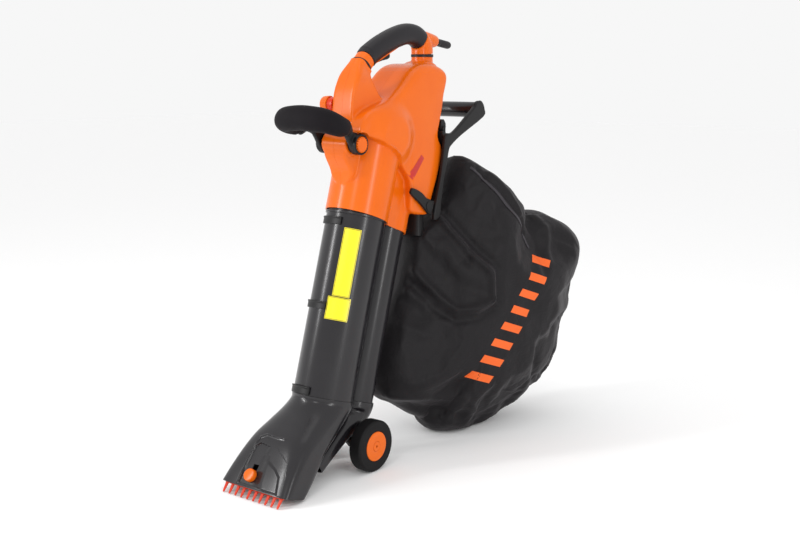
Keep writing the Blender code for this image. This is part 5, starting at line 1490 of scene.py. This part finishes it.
def foldRise(spot):
    # how far the folds lift the cloth at a point of the bag's side plane
    rise = 0.0
    for height, half, line in bag["folds"]:
        reach = toLine(spot, line)
        if reach < 3.0 * half:
            rise += height * math.exp(-(reach / half) ** 2 * 1.4)
    return rise


def foldCloth(piece):
    along, away = bagWays()
    foot = Vector((0.0, axleY + bag["start"], 0.0))
    slack, ripple = bag["slack"], bag["ripple"]
    mesh = piece.data
    moves = []
    for vert in mesh.vertices:
        spot = Vector(((vert.co - foot).dot(along), vert.co.z))
        side = vert.normal.dot(away)
        hold = eased(abs(side), 0.15, 0.55)
        rise = foldRise(spot) * hold if side > 0.0 else 0.0
        # slack that hangs from the collar: creases that fan out from it and fade below
        fan = spot - Vector(slack["from"])
        turn = math.atan2(fan.x, -fan.y)
        stretch = fan.length
        wave = noise.noise(Vector((turn * 5.0, stretch * 3.0, side * 2.0)))
        fade = 1.0 - slack["fadeBy"] * eased(stretch, *slack["fade"])
        rise += slack["rise"] * wave * eased(stretch, *slack["grow"]) * fade * (0.25 + 0.75 * hold)
        rise += ripple["rise"] * noise.noise(Vector((spot.x * ripple["along"], spot.y * ripple["up"],
                                                     side * 3.0)))
        moves.append(vert.normal * rise)
    for vert, move in zip(mesh.vertices, moves):
        vert.co += move
        vert.co.z = max(vert.co.z, 0.0004)


def castOnBag(spot):
    return onBag(spot.x, spot.y, 0.30), -bagWays()[1]


def seamForm(tree):
    # the tape over the flap's seam, one short sheet for each step of its line
    seam = [Vector(spot) for spot in smoothed(bag["seam"], 4, closed=False)]
    strips = []
    for a, b in zip(seam, seam[1:]):
        side = Vector((-(b - a).y, (b - a).x)).normalized() * 0.0030
        strips.append(patchOn(tree, castOnBag, (a - side, a + side, b + side, b - side), 4, 2, 0.0004,
                              0.0011))
    return merged(*strips)


def barsForm(tree):
    # a row of slanting bars in place of the print
    bars = bag["bars"]
    start, end = Vector(bars["from"]), Vector(bars["to"])
    ahead = (end - start).normalized()
    tilt = math.radians(90.0 + bars["slant"])
    across = Vector((ahead.x * math.cos(tilt) - ahead.y * math.sin(tilt),
                     ahead.x * math.sin(tilt) + ahead.y * math.cos(tilt)))
    wide = ahead * bars["wide"] / 2
    prints = []
    for index in range(bars["count"]):
        share = index / (bars["count"] - 1)
        centre = start.lerp(end, share)
        half = across * (bars["long"][0] + (bars["long"][1] - bars["long"][0]) * share) / 2
        prints.append(patchOn(tree, castOnBag, (centre - half - wide, centre - half + wide,
                                                centre + half + wide, centre + half - wide),
                              8, 16, 0.0002, 0.0003))
    return merged(*prints)


def buildBag():
    values = bag
    middle = values["middle"]
    ring = smoothed(values["outline"], 3)
    rows = []
    for scale, share in [(s, -t) for s, t in reversed(values["profile"])] + list(values["profile"]):
        scale *= values["fullness"]
        rows.append([onBag(middle[0] + (b - middle[0]) * scale, middle[1] + (h - middle[1]) * scale,
                           share * values["halfThickness"]) for b, h in ring])
    sack = fused("clothBag", lofted(rows), values["voxel"])
    puffed(sack, **values["sim"])
    finer = sack.modifiers.new("finer", "SUBSURF")
    finer.levels = 1
    finer.render_levels = 1
    applyAll(sack)
    foldCloth(sack)
    settle(sack, "wovenPolyester", "machine", "bag_cloth", ("bag",), 80.0)
    tree = sideTree(sack)
    make("bagSeam", seamForm(tree), "bindingTape", "machine", "bag_cloth")
    make("bagBars", barsForm(tree), "screenPrintInk", "machine", "bag_cloth")
    print("bag:", len(sack.data.polygons))


buildBag()


collar = {
    "stations": ((218.5, 526.0, 44.0, 13.5), (219.5, 500.0, 44.0, 15.0), (220.5, 472.0, 45.0, 18.5)),
    "facing": (-0.992, 0.128), "squareness": 4.0, "wall": 0.0025,
    "drop": 0.0006,
    "lug": {"along": 0.315, "halfWidth": 0.0045, "edge": 0.0012, "outline": (
        (-0.012, 0.0), (0.012, 0.0), (0.0155, 0.0045), (0.006, 0.0075), (-0.002, 0.014), (-0.010, 0.009))},
}


def buildCollar():
    values = collar
    facing = Vector((0.0, *values["facing"])).normalized()
    lower = Vector((0.0, 0.0, -values["drop"]))
    skins = [[oval(place(y, z) + lower, acrossX, facing, wide / 1000.0 - less, deep / 1000.0 - less,
                   values["squareness"], 64) for y, z, wide, deep in values["stations"]]
             for less in (0.0, values["wall"])]
    piece = asObject("bagCollar", shellForm(*skins))
    top = place(*values["stations"][0][:2])
    carve(piece, lofted([[Vector((x, top.y + back, top.z + up)) for back, up in (
        (-0.07, 0.0065), (0.03, -0.0065), (0.03, 0.05), (-0.07, 0.05))] for x in (-0.06, 0.06)]))
    settle(piece, "filledNylonBlack", "machine", "black_plastic", ("bag_collar",))
    lug = values["lug"]
    half, edge = lug["halfWidth"], lug["edge"]
    foot = onTube(lug["along"], -spacing - tubes["blower"]["radius"] - slit)
    outline = rounded(lug["outline"], 0.003, 4, closed=True)
    rows = []
    for x, less in ((-half, edge), (edge - half, 0.0), (half - edge, 0.0), (half, edge)):
        rows.append([foot + tubeUp * p.x - tubeFront * p.y + acrossX * x
                     for p in drawnIn(outline, [less] * len(outline))])
    make("bagLug", lofted(rows), "mouldedAbsOrange", "machine", "orange_plastic", ("bag_lug",))
    print("collar and lug ready")


buildCollar()


# the solids that show as they are take their real finishes

plainNodes = {
    "zincPlatedSteel": ("clamp_bolt", "motor_shaft", "armature", "front_bearing", "rear_bearing",
                        "body_screw_1", "body_screw_2", "body_screw_3"),
    "enamelledCopper": ("stator",),
    "filledNylonBlack": ("axle_bracket", "impeller", "inlet_shroud", "motor_cup", "power_switch"),
    "mouldedAbsOrange": ("vent_cover",),
}
for look, nodes in plainNodes.items():
    for node in nodes:
        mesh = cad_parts[node].data
        mesh.materials.clear()
        mesh.materials.append(finish[look])
print("plain nodes finished")
